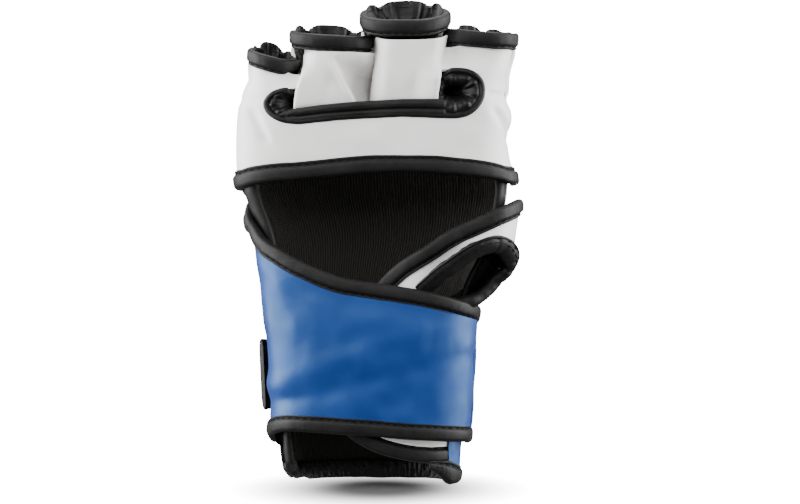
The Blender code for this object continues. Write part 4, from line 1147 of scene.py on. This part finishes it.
def build_back():
    low = lambda u: 84.0 + 0 * u
    s, v = np.meshgrid(np.linspace(0, 1, 150), np.linspace(0, 1, 120), indexing="ij")
    z = mix(84.0, 176.8, v)
    u = mix(mix(-2.0, -5.0, smooth(z, 138, 146)), mix(181.0, 185.0, smooth(z, 132, 142)), s)
    right, left = side_d(z)
    up = np.cos(np.radians(u))
    at_side = np.where(up > 0, right, left)
    white_side = mix(5.35, at_side, smooth(z, 140, 152))
    d = mix(shell_d(u, z), white_side - 1.2, smooth(np.abs(up), 0.90, 0.995))
    over = np.clip(np.sin(np.radians(u)), 0, 1)
    puff = 0.5 * noise(u / 22, z / 18, 91) + 0.25 * noise(u / 9, z / 9, 92)
    groove = np.exp(-((z - 131.5) / 2.2) ** 2) + np.exp(-((z - 88.0) / 2.0) ** 2)
    seam = np.exp(-((u - 62) / 1.4) ** 2) + np.exp(-((u - 118) / 1.4) ** 2)
    d = d + (puff - 1.6 * groove * over - 0.9 * seam * smooth(z, 140, 146) * over) * smooth(over, 0.1, 0.45)
    p = hand(u, z, d)
    n = normals_of(p)
    if np.sum(n[..., 1]) < 0:
        n = -n
    shell = plate("back_shell_leather", p, 1.3, "white", "hand", ("back_shell",), n=n)
    # foam under it
    for name, z0, z1, rep in (("knuckle_foam_pad", 146.5, 166.5, "knuckle_foam"), ("hand_back_foam_pad", 92.5, 126.5, "hand_back_foam"), ("cuff_foam_pad", 11.0, 73.5, "cuff_foam")):
        s, v = np.meshgrid(np.linspace(0, 1, 50), np.linspace(0, 1, 24), indexing="ij")
        u = mix(16, 164, s)
        z = mix(z0, z1, v)
        round_off = (1 - np.abs(2 * s - 1) ** 8) * (1 - np.abs(2 * v - 1) ** 8)
        outer = foam_d(u, z) - 0.7 - 0.8 * (1 - round_off)
        p = hand(u, z, outer)
        n = surface_normal(lambda a, b: hand(a, b, 2.0), u, z)
        pad = plate(name, p, np.maximum(0.5, outer - 1.75), "foam", "hand", (rep,), n=n)
    # the raised panel on the back
    s, v = np.meshgrid(np.linspace(0, 1, 60), np.linspace(0, 1, 44), indexing="ij")
    q = 2 * s - 1
    u = 90 + 31 * q
    z = mix(93, 126.5, v) + 0 * q
    edge = np.clip((1 - np.abs(q) ** 8) * (1 - np.abs(2 * v - 1) ** 8), 0, 1) ** 0.5
    p = hand(u, z, shell_d(u, z) + 0.4 + 1.2 * edge + 0.2 * noise(u / 12, z / 9, 93))
    n = surface_normal(lambda a, b: hand(a, b, shell_d(a, b)), u, z)
    plate("back_panel_leather", p, 1.2, "blue", "hand", ("back_panel",), n=n)
    ring = [(90 + 29.0 * math.copysign(abs(math.cos(g)) ** 0.25, math.cos(g)), 109.75 + 15.0 * math.copysign(abs(math.sin(g)) ** 0.25, math.sin(g))) for g in np.linspace(0, 2 * math.pi, 160)]
    ring = np.array(ring)
    pts = hand(ring[:, 0], ring[:, 1], shell_d(ring[:, 0], ring[:, 1]) + 1.62)
    nn = surface_normal(lambda a, b: hand(a, b, shell_d(a, b)), ring[:, 0], ring[:, 1])
    stitches("back_panel_stitches", pts, nn, "white_thread", "hand")
    for name, zz in (("back_seam_upper_stitches", 134.3), ("back_seam_lower_stitches", 90.4)):
        uu = np.linspace(12, 168, 200)
        z1 = np.full_like(uu, zz)
        g = np.exp(-((z1 - 131.5) / 2.2) ** 2) + np.exp(-((z1 - 88.0) / 2.0) ** 2)
        over = np.clip(np.sin(np.radians(uu)), 0, 1)
        dd = shell_d(uu, z1) + (0.5 * noise(uu / 22, z1 / 18, 91) + 0.25 * noise(uu / 9, z1 / 9, 92) - 1.6 * g * over) * smooth(over, 0.1, 0.45)
        stitches(name, hand(uu, z1, dd), surface_normal(lambda a, b: hand(a, b, shell_d(a, b)), uu, z1), "white_thread", "hand")
    # blue cuff
    s, v = np.meshgrid(np.linspace(0, 1, 170), np.linspace(0, 1, 90), indexing="ij")
    z = mix(7.6, 84.6, v)
    for _ in range(3):
        u = mix(palm_u(mix(34.9, 37.0, smooth(z, 14, 80)), z, 5.0), mix(169.5, 178.5, smooth(z, 26, 42)), s)
        z = mix(6.8 + corner_rise(u) * 0.9, 84.6, v)
    u = mix(palm_u(mix(34.9, 37.0, smooth(z, 14, 80)), z, 5.0), mix(169.5, 178.5, smooth(z, 26, 42)), s)
    d = shell_d(u, z) + 0.3 * noise(u / 18, z / 15, 94) + 0.2 * noise(u / 7, z / 7, 95)
    p = hand(u, z, d)
    n = normals_of(p)
    if np.sum(n[..., 1]) < 0:
        n = -n
    plate("cuff_shell_leather", p, 1.3, "blue", "hand", ("cuff_shell",), n=n)
    # black edge cover on the little finger side, below the strap
    s, v = np.meshgrid(np.linspace(0, 1, 30), np.linspace(0, 1, 60), indexing="ij")
    u = mix(166.0, 190.0, s)
    z = mix(1.4 + 5.6 * smooth(u, 170, 190), 46.0, v)
    p = hand(u, z, shell_d(u, np.maximum(z, 12.0)) + 0.35 + 0.12 * noise(u / 9, z / 6, 97))
    plate("cuff_edge_cover", p, 1.6, "black", "hand", n=surface_normal(lambda a, b: hand(a, b, 4.0), u, z))
    # loop tape on the cuff
    s, v = np.meshgrid(np.linspace(0, 1, 80), np.linspace(0, 1, 40), indexing="ij")
    u, z = mix(46, 138, s), mix(26, 70, v)
    p = hand(u, z, shell_d(u, z) + 1.5 + 0.1 * noise(u / 10, z / 10, 96))
    plate("cuff_loop_tape", p, 1.0, "loop", "hand", ("loop_patch",), n=surface_normal(lambda a, b: hand(a, b, shell_d(a, b)), u, z))
    # seam cover where the white back meets the blue cuff
    uu = np.linspace(-4, 184, 150)
    zz = np.full_like(uu, 87.2)
    e, a, n2, w = edge_frames(lambda a_, b_: hand(a_, b_, shell_d(a_, b_) - 0.9), np.stack([uu, zz, uu, zz - 6], -1))
    tape("back_seam_tape", e, a, n2, "hand", seed=17, scale=np.full(len(uu), 0.85), thread_at=6.15)


build_back()


# ------------------------------------------------------------------ cuff hem and corner binding
def build_hem():
    s, v = np.meshgrid(np.linspace(0, 1, 230), np.linspace(0, 1, 26), indexing="ij")
    u = mix(-6.0, 199.0, s)
    q = v * 2 - 1
    x = hand(u, 4.0 + 0 * u, 5.0)[..., 0]
    z_top = 8.6 + corner_rise(u) * 0.9 + 1.6 * smooth(u, 172, 194)
    lowz = 0.25 + 0.35 * smooth(-x, -25, 40) + 4.8 * smooth(u, 160, 194) + 0.2 * noise(u / 6, 0 * u, 101)
    z = mix(lowz, z_top, v)
    bulge = np.sqrt(np.clip(1 - q**2, 0, 1))
    gather = 0.22 * noise(u / 2.6, v * 1.4, 102) + 0.15 * noise(u / 1.2, v * 1.0, 103)
    d = shell_d(u, np.full_like(u, 12.0)) - 0.9 + 1.3 * bulge + gather * bulge
    p = hand(u, z, d)
    n = surface_normal(lambda a, b: hand(a, b, 4.0), u, z)
    thick = np.maximum(0.9, d + 0.4 + 0.3 * gather)
    plate("cuff_hem_leather", p, thick, "black", "hand", ("cuff_hem",), n=n)
    # stitched tape round the cut-away corner on the thumb side
    u = np.linspace(float(palm_u(25.5, 8.0, 4.0)), 14.0, 90)
    z0 = 0.9 + 1.6 * smooth(u, -26, 6) * 0.5 + 7.0 * smooth(-u, 27, 54)
    z1 = 8.0 + corner_rise(u)
    base = lambda a, b: hand(a, b, shell_d(a, np.maximum(b, 12.0)) - 0.6)
    e, i, n = base(u, z0), base(u, z1), surface_normal(base, u, (z0 + z1) / 2)
    a = i - e
    w = np.linalg.norm(a, axis=1, keepdims=True)
    a /= w
    n = n - a * np.sum(n * a, -1, keepdims=True)
    n /= np.linalg.norm(n, axis=1, keepdims=True)
    tape("cuff_corner_tape", e, a, n, "hand", seed=19, scale=w[:, 0] / 7.6)
    # the turned-in part of the hem, seen inside the cuff
    s, v = np.meshgrid(np.linspace(0, 1, 260), np.linspace(0, 1, 20), indexing="ij")
    u = mix(2, 182.0, s)
    z = mix(0.7 + 4.0 * smooth(u, 150, 182), 8.6, v)
    d = -0.5 - 0.55 * np.sin(np.pi * v) - (0.35 * noise(u / 1.5, v * 1.4, 104) + 0.2 * noise(u / 0.8, v, 105)) * np.sin(np.pi * v) ** 0.5
    p = hand(u, z, d)
    n = -surface_normal(lambda a, b: hand(a, b, 4.0), u, z)
    plate("cuff_hem_facing", p, 0.5, "soft_black", "hand", n=n)
    uu = np.linspace(4, 186, 200)
    pts = hand(uu, 9.2, -0.75)
    stitches("cuff_hem_stitches", pts, -surface_normal(lambda a, b: hand(a, b, 4.0), uu, np.full_like(uu, 9.2)), "black_thread", "hand", radius=0.3)


build_hem()


# ------------------------------------------------------------------ strap and tail
STRAP_OUT = px((246, 216), (250, 222), (262, 238), (280, 250), (300, 261), (320, 270), (340, 277), (360, 281), (380, 284), (400, 287), (430, 292), (460, 300), (484, 307.5))
STRAP_LOWER_OUT = px((262, 434.5), (266, 437), (280, 431), (300, 430), (340, 432), (370, 434), (400, 436.5), (450, 440), (474, 443), (484, 444))


def strap_d(u, z):
    ends = 4.2 * smooth(z, 124, 134) + 2.0 * smooth(np.negative(z), -24, -17)
    return mix(3.9, 6.35, side(u)) - ends * (np.asarray(u) < -150)


def strap_face(u, z):
    """Outer face of the strap's leather with its soft dents."""
    d = strap_d(u, z) + 3.0
    x = hand(u, z, d)[..., 0]
    inside = smooth(z - line(STRAP_LOWER_OUT, x), 6.5, 17) * smooth(line(STRAP_OUT, x) - z, 6.5, 17)
    soft = 0.7 * noise(x / 21, z / 19, 111) + 0.4 * noise(x / 8, z / 10, 112)
    # two shallow pulls run in from the thumb side corner
    soft = soft + 0.8 * np.exp(-(((z - 62) - 0.35 * (x + 10)) / 6.0) ** 2) - 0.6 * np.exp(-(((z - 48) - 0.25 * (x + 12)) / 5.0) ** 2)
    return hand(u, z, d + soft * 1.2 * inside)


def build_strap():
    lo = lambda x: line(STRAP_LOWER_OUT, x)
    hi = lambda x: line(STRAP_OUT, x)
    s, v = np.meshgrid(np.linspace(0, 1, 180), np.linspace(0, 1, 110), indexing="ij")

    def rows(u, v, a, b):
        z = np.full_like(u, 60.0)
        for _ in range(8):
            x = hand(u, z, strap_d(u, z) + 3.0)[..., 0]
            z = mix(lo(x) - 4.5 * smooth(-u, 166, 182) ** 1.5 + a, hi(x) + 7.0 * smooth(-u, 162, 182) ** 1.5 - b, v)
        return z

    u = mix(-180.5, -9.5, s)
    z = rows(u, v, 7.05, 7.05)
    p = strap_face(u, z)
    n = normals_of(p)
    if np.sum(n[..., 1]) > 0:
        n = -n
    plate("strap_shell_leather", p, 1.3, "blue", BEND_ROOT, ("strap_shell",), n=n)
    s2, v2 = np.meshgrid(np.linspace(0, 1, 120), np.linspace(0, 1, 60), indexing="ij")
    u2 = mix(-178.0, -8.0, s2)
    z2 = rows(u2, v2, 5.8, 5.8)
    p2 = hand(u2, z2, strap_d(u2, z2) + 0.3 + 0.15 * noise(u2 / 14, z2 / 12, 113))
    n2 = -surface_normal(lambda a, b: hand(a, b, 4.0), u2, z2)
    lining = plate("strap_lining_cloth", p2, 0.8, "lining", BEND_ROOT, ("strap_lining",), n=n2)
    for name, vv, a0, b0, rep, seed in (("strap_upper_binding_tape", 1.0, 0.0, 0.0, "strap_upper_binding", 12), ("strap_lower_binding_tape", 0.0, 0.0, 0.0, "strap_lower_binding", 13)):
        u = np.linspace(-182.0, -9.0, 210)
        ve = np.full_like(u, vv)
        z_e = rows(u, ve, 0.0, 0.0)
        z_i = z_e + (-7 if vv else 7)
        base = lambda a, b: hand(a, b, strap_d(a, b) + 1.75)
        e, n = base(u, z_e), surface_normal(base, u, z_e)
        t = np.gradient(e, axis=0)
        t /= np.linalg.norm(t, axis=1, keepdims=True)
        a = np.cross(n, t)
        want = base(u, z_i) - e
        a *= np.sign(np.sum(a * want, -1, keepdims=True))
        tape(name, e, a, n, BEND_ROOT, (rep,), seed=seed, scale=np.full(len(u), 1.0))
    return lining


strap_lining = build_strap()


def tail_d(u):
    return mix(6.75, 10.0, smooth(u, 0, 50)) + 0.8 * smooth(u, 120, 152)


def tail_half(u):
    q = np.maximum(0.0, (u - 118) / 47.0)
    return mix(30.4, 22.0, smooth(u, 5, 110)) * np.sqrt(np.maximum(0.05, 1 - q**2.6))


def build_tail():
    mid = 51.0
    hi_rim = lambda u: mix(line(STRAP_OUT, 49.0), mid + tail_half(u), smooth(u, -12, 16))
    lo_rim = lambda u: mix(line(STRAP_LOWER_OUT, 49.0), mid - tail_half(u), smooth(u, -12, 16))

    def td(u):
        return mix(strap_d(u, 51) , tail_d(np.maximum(u, 0)), smooth(u, -14, 8))

    s, v = np.meshgrid(np.linspace(0, 1, 190), np.linspace(0, 1, 70), indexing="ij")
    u = mix(-11.5, 142.0, s)
    z = mix(lo_rim(u) + 6.5, hi_rim(u) - 6.5, v)
    d = td(u) + 3.0 + 0.35 * noise(u / 16, z / 13, 121) + 0.2 * noise(u / 7, z / 8, 122)
    p = hand(u, z, d)
    n = normals_of(p)
    if np.sum(n[..., 1]) < 0:
        n = -n
    plate("strap_tail_shell_leather", p, 1.3, "blue", BEND_FOLD, ("tail_shell",), n=n)
    s, v = np.meshgrid(np.linspace(0, 1, 120), np.linspace(0, 1, 40), indexing="ij")
    u = mix(-7.0, 141.0, s)
    z = mix(lo_rim(u) + 5.4, hi_rim(u) - 5.4, v)
    n = -surface_normal(lambda a, b: hand(a, b, 4.0), u, z)
    plate("strap_tail_lining_cloth", hand(u, z, td(u) + 0.25), 0.8, "lining", BEND_FOLD, ("tail_lining",), n=n)
    s, v = np.meshgrid(np.linspace(0, 1, 70), np.linspace(0, 1, 40), indexing="ij")
    u, z = mix(58, 130, s), mix(31, 67, v)
    plate("strap_hook_tape", hand(u, z, td(u) - 1.1 + 0.08 * noise(u / 9, z / 9, 123)), 0.8, "hook", "strap_tail", ("hook_patch",), n=-surface_normal(lambda a, b: hand(a, b, 4.0), u, z))
    for name, sign, rep, seed in (("strap_tail_upper_tape", 1, "tail_upper_binding", 14), ("strap_tail_lower_tape", -1, "tail_lower_binding", 15)):
        u = np.linspace(-11.0, 142.0, 210)
        base = lambda a, b: hand(a, b, td(a) + 1.75)
        rim = hi_rim if sign > 0 else lo_rim
        e = base(u, rim(u))
        n = surface_normal(base, u, rim(u))
        t = np.gradient(e, axis=0)
        t /= np.linalg.norm(t, axis=1, keepdims=True)
        a = np.cross(n, t)
        want = base(u, rim(u) - sign * 7) - e
        a *= np.sign(np.sum(a * want, -1, keepdims=True))
        tape(name, e, a, n, BEND_FOLD, (rep,), seed=seed, scale=np.full(len(u), 0.92))
    # round pull end
    s, v = np.meshgrid(np.linspace(0, 1, 40), np.linspace(0, 1, 60), indexing="ij")
    u = mix(138.5, 163.0, s)
    q = 2 * v - 1
    z = mid + q * (tail_half(np.minimum(u, 153)) + 0.3)
    edge = np.clip((1 - np.abs(q) ** 6), 0, 1) ** 0.5 * np.clip(1 - np.maximum(0, 2 * s - 1) ** 4, 0, 1) ** 0.5
    p = hand(u, z, td(u) + 1.9 + 1.7 * edge + 2.6 * smooth(u, 146, 163))
    plate("strap_tail_pull_leather", p, 1.8 + 1.6 * edge, "black", "strap_tail", ("tail_pull_tab",), n=surface_normal(lambda a, b: hand(a, b, 4.0), u, z), lip=1.0)


build_tail()


# ------------------------------------------------------------------ thumb-side flap under the strap
def build_flap():
    def fd(x):
        return 2.2 + 0 * x

    def oval(q_ang, inset):
        a = np.radians(q_ang)
        e = 2 / 2.2
        x = 33.4 - (57.6 - inset) * np.abs(np.cos(a)) ** e
        z = 46.8 + (35.6 - inset) * spow(np.sin(a), e)
        return x, z

    s, v = np.meshgrid(np.linspace(0, 1, 80), np.linspace(0, 1, 100), indexing="ij")
    q = 2 * v - 1
    z = 46.8 + q * 28.4
    left = 33.4 - 50.4 * (1 - np.abs(q) ** 2.2 * 0.98) ** (1 / 2.2)
    x = mix(np.minimum(left, 27.0), 34.0, s)
    surf = lambda x, z, d: hand(palm_u(x, z, 2.0), z, d)
    p = surf(x, z, 3.1 + 0.25 * noise(x / 12, z / 12, 131))
    n = surface_normal(lambda a, b: hand(a, b, 3.0), palm_u(x, z, 2.0), z)
    plate("flap_leather", p, 1.1, "white", "cuff_flap", ("flap_shell",), n=n)
    p = surf(x, z, 0.55 + 0.1 * noise(x / 12, z / 12, 132))
    flap_lining = plate("flap_lining_cloth", p, -0.8, "lining", "cuff_flap", ("flap_lining",), n=-n)
    ang = np.linspace(-89, 87, 170)
    xo, zo = oval(ang, 0.0)
    xi, zi = oval(ang, 8.0)
    e, i = surf(xo, zo, 1.2), surf(xi, zi, 1.2)
    n = surface_normal(lambda a, b: hand(a, b, 3.0), palm_u(xo, zo, 2.0), zo)
    a = i - e
    w = np.linalg.norm(a, axis=1, keepdims=True)
    a /= w
    n = n - a * np.sum(n * a, -1, keepdims=True)
    n /= np.linalg.norm(n, axis=1, keepdims=True)
    e = np.concatenate([surf(np.array([34.7]), zo[:1], 1.2), e])
    a, n, w = (np.concatenate([v[:1], v]) for v in (a, n, w))
    tape("flap_edge_tape", e, a, n, "cuff_flap", ("flap_binding",), seed=16, scale=np.clip(w[:, 0] / 7.6, 0.6, 1.05))


build_flap()


# ------------------------------------------------------------------ thumb panel and thumb loop
THUMB_TOP = [(-12.0, 82.0), (-4.0, 90.2), (0.7, 95.4), (5.0, 100.0)] + px((400, 262), (430, 243), (450, 230), (470, 221), (490, 212), (505, 206), (520, 199))
RING_LINE = [(21.0, -19.3, 90.5), (28.4, -24.6, 98.8), (36.6, -28.4, 105.0), (45.8, -29.4, 110.9), (54.2, -27.0, 113.9), (60.2, -22.0, 112.0), (62.9, -16.6, 107.0), (61.3, -12.8, 101.9), (56.8, -11.0, 97.6), (52.0, -11.6, 92.2), (44.5, -14.5, 87.0), (36, -16.0, 84.5), (27.0, -16.8, 85.0)]
RING_TOP = [(12.0, 84.0), (21.0, 90.5), (28.4, 98.8), (36.6, 105.0), (45.8, 110.9), (54.2, 113.9), (60.2, 112.5), (66.0, 110.0)]
THUMB_SIDE_X = [(84, 48.5), (92, 52.5), (98, 57.0), (103, 61.4), (108, 63.6), (113, 65.3), (118, 66.3), (124, 67.2), (130, 67.8), (140, 68.0)]


def panel_d(u, z):
    """How far the thumb panel stands off the cavity: pulled in at its left end, swollen over the thumb's root."""
    x = hand(u, z, 7.0)[..., 0]
    front = mix(0.6, 6.4, smooth(x, -2, 24)) + 1.6 * smooth(x, 40, 58)
    edge = line(THUMB_SIDE_X, z) - tab(CAVITY, z)[..., 1]
    at_side = mix(edge, 5.6, smooth(u, -6, 13))
    return mix(front, at_side, smooth(u, -58, -30))


def panel(u, z):
    return hand(u, z, panel_d(u, z))


def panel_top(u):
    z = np.full_like(u, 118.0)
    for _ in range(12):
        z = mix(z, line(THUMB_TOP, np.minimum(panel(u, z)[..., 0], 68.0)), 0.7)
    return z


def build_thumb():
    # binding along the palm opening, round the thumb side to the back
    u = np.concatenate([np.linspace(palm_u(-3.0, 91.0, 1.0), -40, 110), np.linspace(-39.0, 13.0, 70)])
    top_z = panel_top(u)
    for _ in range(4):
        top_z[1:-1] = (top_z[:-2] + 2 * top_z[1:-1] + top_z[2:]) / 4
    e = panel(u, top_z) - 0.0
    n = surface_normal(panel, u, top_z)
    t = np.gradient(e, axis=0)
    t /= np.linalg.norm(t, axis=1, keepdims=True)
    a = np.cross(n, t)
    want = panel(u, top_z - 6.0) - e
    a *= np.sign(np.sum(a * want, -1, keepdims=True))
    for _ in range(8):
        for arr in (a, n):
            arr[1:-1] = (arr[:-2] + 2 * arr[1:-1] + arr[2:]) / 4
    n /= np.linalg.norm(n, axis=1, keepdims=True)
    a -= n * np.sum(a * n, -1, keepdims=True)
    a /= np.linalg.norm(a, axis=1, keepdims=True)
    tape("thumb_panel_binding_tape", e - n * 0.5, a, n, BEND_THUMB, ("thumb_panel_binding",), seed=18, scale=np.full(len(e), 1.02))
    # white leather between that binding and the thumb loop, round the side to the back
    s, v = np.meshgrid(np.linspace(0, 1, 210), np.linspace(0, 1, 44), indexing="ij")
    u = mix(float(palm_u(10.0, 97.0, 4.0)), 14.0, s)
    zt = panel_top(u[:, 0])[:, None] - 5.6 + 0 * u
    x = hand(u, zt, 7.0)[..., 0]
    zb_front = line(RING_TOP, np.clip(x, 12, 64)) - 0.6
    zb_side = tab(np.array([(-60, 114.5), (-46, 114), (-38, 113), (-32, 111.3), (-26, 109), (-20, 107.5), (-17, 105.2), (-15, 101), (-13, 94), (-10, 86.5), (20, 85.5)], float), u)[..., 0]
    zb = np.minimum(mix(zb_front, zb_side, smooth(u, -52, -42)), zt - 0.8)
    z = mix(zb, zt, v)
    d = panel_d(u, z) + (0.25 * noise(u / 8, z / 7, 141)) * smooth(zt - z, 0, 4)
    p = hand(u, z, d)
    n = surface_normal(panel, u, z)
    plate("thumb_panel_leather", p, 1.2, "white", BEND_THUMB, ("thumb_panel",), n=n)
    # black lining between the thumb's root and the palm
    s2, v2 = np.meshgrid(np.linspace(0, 1, 30), np.linspace(0, 1, 40), indexing="ij")
    z2 = mix(84.5, 119.0, v2)
    u2 = mix(-7.5, 0.0, s2)
    plate("thumb_side_lining", hand(u2, z2, mix(0.2, panel_d(u2, z2) - 1.6, s2)), 0.6, "soft_black", BEND_THUMB, n=np.broadcast_to(np.array([0.0, -1.0, 0.0]), u2.shape + (3,)))
    # black lining under the panel
    plate("thumb_panel_lining_leather", hand(u, mix(zb - 0.7, zt, v), panel_d(u, z) - 1.45), 0.7, "soft_black", BEND_THUMB, n=n)

    # the padded loop the thumb goes through
    c = spline(RING_LINE, 14, closed=True)
    m = len(c)
    mid = c.mean(0)
    t = np.roll(c, -1, 0) - np.roll(c, 1, 0)
    t /= np.linalg.norm(t, axis=1, keepdims=True)
    o = c - mid
    o -= t * np.sum(o * t, -1, keepdims=True)
    o /= np.linalg.norm(o, axis=1, keepdims=True)
    up = np.cross(t, o)
    if up[:, 1].mean() > 0:
        up = -up
    g = np.linspace(0, 2 * math.pi, 30, endpoint=False)
    arc = np.concatenate([[0], np.cumsum(np.linalg.norm(np.diff(c, axis=0), axis=1))])
    wr = noise(arc[:, None] / 3.4, g[None] * 0.5, 143) * 0.9 + noise(arc[:, None] / 1.7, g[None] * 0.6, 144) * 0.4
    # sharp creases where the roll turns at the thumb's side
    turn = arc[-1] * np.array([0.385, 0.43, 0.47, 0.515, 0.56])
    wr = wr - sum(1.5 * np.exp(-((arc[:, None] - a0 - 0.5 * np.sin(g[None])) / 0.75) ** 2) for a0 in turn)
    near = smooth(-c[:, 1], 13, 19)[:, None]
    wide = mix(2.9, 4.7, near)
    high = mix(3.1, 2.8, near)
    rad = 1 + 0.1 * wr
    p = c[:, None] + o[:, None] * (np.cos(g)[None, :, None] * (wide * rad)[..., None]) + up[:, None] * (np.sin(g)[None, :, None] * (high * rad)[..., None])
    p = p - o[:, None] * (wide - 3.6)[..., None] * 0.4
    ring = tube("thumb_loop_padding", p, "black", BEND_THUMB, ("thumb_ring",), closed=True)
    # thin piped edge round the outside of the loop
    k = 1.0
    q = c + o * (wide[:, :1] * 0.98 - (wide[:, :1] - 3.6) * 0.4) + up * 0.4
    gg = np.linspace(0, 2 * math.pi, 10, endpoint=False)
    tube("thumb_loop_piping", q[:, None] + o[:, None] * (np.cos(gg)[None, :, None] * 0.75) + up[:, None] * (np.sin(gg)[None, :, None] * 0.75), "soft_black", BEND_THUMB, closed=True)
    pts = c + o * (wide * 0.60 - (wide - 3.6) * 0.4) + up * (high * 0.83)
    stitches("thumb_loop_stitches", np.concatenate([pts, pts[:1]]), np.concatenate([up, up[:1]]), "black_thread", BEND_THUMB, radius=0.3, lift=0.0)
    # lining of the loop, drawn in behind it
    rows = 22
    out = np.zeros((m, rows, 3))
    inner = c - o * (wide * 0.75 + (wide - 3.6) * 0.4)
    back = np.array([-0.55, 1.0, 0.0])
    back /= np.linalg.norm(back)
    for r, vv in enumerate(np.linspace(0, 1, rows)):
        deep = 20.0 * vv
        fold = noise(arc / 4.5, vv * 2 + 0 * arc, 145) * 0.7 * math.sin(math.pi * vv)
        out[:, r] = inner + back * deep - o * (0.8 * math.sin(math.pi * vv) + fold[:, None]) + o * 0.5 * vv
    nn = normals_of(out, True)
    if np.sum(nn * (out - out.mean(0)[None])) > 0:
        nn = -nn
    plate("thumb_loop_lining", out, 0.6, "soft_black", BEND_THUMB, closed_s=True, n=nn)


build_thumb()


# ------------------------------------------------------------------ studio
def build_stage():
    scene = bpy.context.scene
    m, t, b = nodes_for("floor_paper")
    co = make(t, "ShaderNodeTexCoord").outputs["Object"]
    n = make(t, "ShaderNodeTexNoise", Scale=40.0, Detail=2.0)
    t.links.new(co, n.inputs["Vector"])
    paper = ramp(t, n.outputs["Fac"], [(0.3, (0.90, 0.90, 0.90)), (0.7, (0.92, 0.92, 0.92))])
    b.inputs["Roughness"].default_value = 0.6
    b.inputs["Specular IOR Level"].default_value = 0.2
    # painted shadow: the paper glows through its emission, strongly far from the glove and not at all under it, and
    # its colour is mixed to dark grey towards the glove; together they paint a soft contact shadow
    scaled = make(t, "ShaderNodeMapping")
    scaled.inputs["Location"].default_value = (-0.06, 0.50, 0.0)
    scaled.inputs["Scale"].default_value = (28.0, 21.0, 2.0)
    t.links.new(co, scaled.inputs["Vector"])
    far = make(t, "ShaderNodeVectorMath", operation="LENGTH")
    t.links.new(scaled.outputs["Vector"], far.inputs[0])
    near = to_range(t, far.outputs["Value"], 0.0, 1.0, 0.28, 2.1)
    eased = make(t, "ShaderNodeMath", operation="POWER")
    eased.inputs[1].default_value = 2.9
    t.links.new(near, eased.inputs[0])
    # the floor's glow, which falls to nothing near the glove and so leaves the painted shadow there
    glow = to_range(t, eased.outputs["Value"], 0.0, 18.0)
    # painted contact shadow: the floor's colour goes to dark grey (0.06) near the glove
    painted_shadow_mix = t.nodes.new("ShaderNodeMixRGB")
    t.links.new(eased.outputs["Value"], painted_shadow_mix.inputs["Fac"])
    painted_shadow_mix.inputs["Color1"].default_value = (0.06, 0.06, 0.06, 1)
    t.links.new(paper, painted_shadow_mix.inputs["Color2"])
    t.links.new(painted_shadow_mix.outputs["Color"], b.inputs["Base Color"])
    b.inputs["Emission Color"].default_value = (1, 1, 1, 1)
    t.links.new(glow, b.inputs["Emission Strength"])
    # a round cove: flat floor, curved foot, upright wall
    profile = [(0.0, -0.0002), (0.5, -0.0002), (3.0, -0.0002)] + [(3.0 + 1.0 * math.sin(a), 1.0 - 1.0002 * math.cos(a)) for a in np.linspace(0.12, math.pi / 2, 12)] + [(4.0, 4.5)]
    bm = bmesh.new()
    centre = bm.verts.new((0, 0, profile[0][1]))
    rings = [[bm.verts.new((r * math.cos(g), r * math.sin(g), z)) for g in np.linspace(0, 2 * math.pi, 64, endpoint=False)] for r, z in profile[1:]]
    for i in range(64):
        j = (i + 1) % 64
        bm.faces.new((centre, rings[0][i], rings[0][j]))
        for a, c in zip(rings, rings[1:]):
            bm.faces.new((a[i], c[i], c[j], a[j]))
    mesh = bpy.data.meshes.new("studio_floor")
    bm.to_mesh(mesh)
    bm.free()
    mesh.shade_smooth()
    floor = bpy.data.objects.new("studio_floor", mesh)
    scene.collection.objects.link(floor)
    mesh.materials.append(m)
    floor.visible_diffuse = False
    floor.visible_glossy = False

    world = bpy.data.worlds.new("studio")
    scene.world = world
    world.use_nodes = True
    world.node_tree.nodes["Background"].inputs["Color"].default_value = (1, 1, 1, 1)
    world.node_tree.nodes["Background"].inputs["Strength"].default_value = 0.36

    def area(name, place, aim, size, power, colour=(1, 1, 1)):
        light = bpy.data.lights.new(name, "AREA")
        light.shape = "RECTANGLE"
        light.size, light.size_y = size
        light.energy = power
        light.color = colour
        obj = bpy.data.objects.new(name, light)
        obj.location = place
        obj.rotation_euler = (Vector(aim) - Vector(place)).to_track_quat("-Z", "Y").to_euler()
        scene.collection.objects.link(obj)

    area("key_softbox", (-0.45, -1.25, 0.95), (0, 0, 0.11), (0.8, 0.8), 15.0)
    area("left_strip", (-0.95, -0.10, 0.35), (0, 0, 0.11), (1.0, 1.2), 44.0)
    area("right_strip", (0.95, -0.10, 0.35), (0, 0, 0.11), (1.0, 1.2), 39.0)
    area("top_softbox", (0.0, 0.35, 1.2), (0, 0, 0.1), (1.0, 0.8), 16.0)
    camera = bpy.data.cameras.new("camera")
    camera.lens = 100
    camera.sensor_width = 36
    camera.clip_start = 0.05
    cam = bpy.data.objects.new("camera", camera)
    cam.location = (0.0116, -1.060, 0.110)
    cam.rotation_euler = (math.radians(90), 0, 0)
    scene.collection.objects.link(cam)
    scene.camera = cam


build_stage()
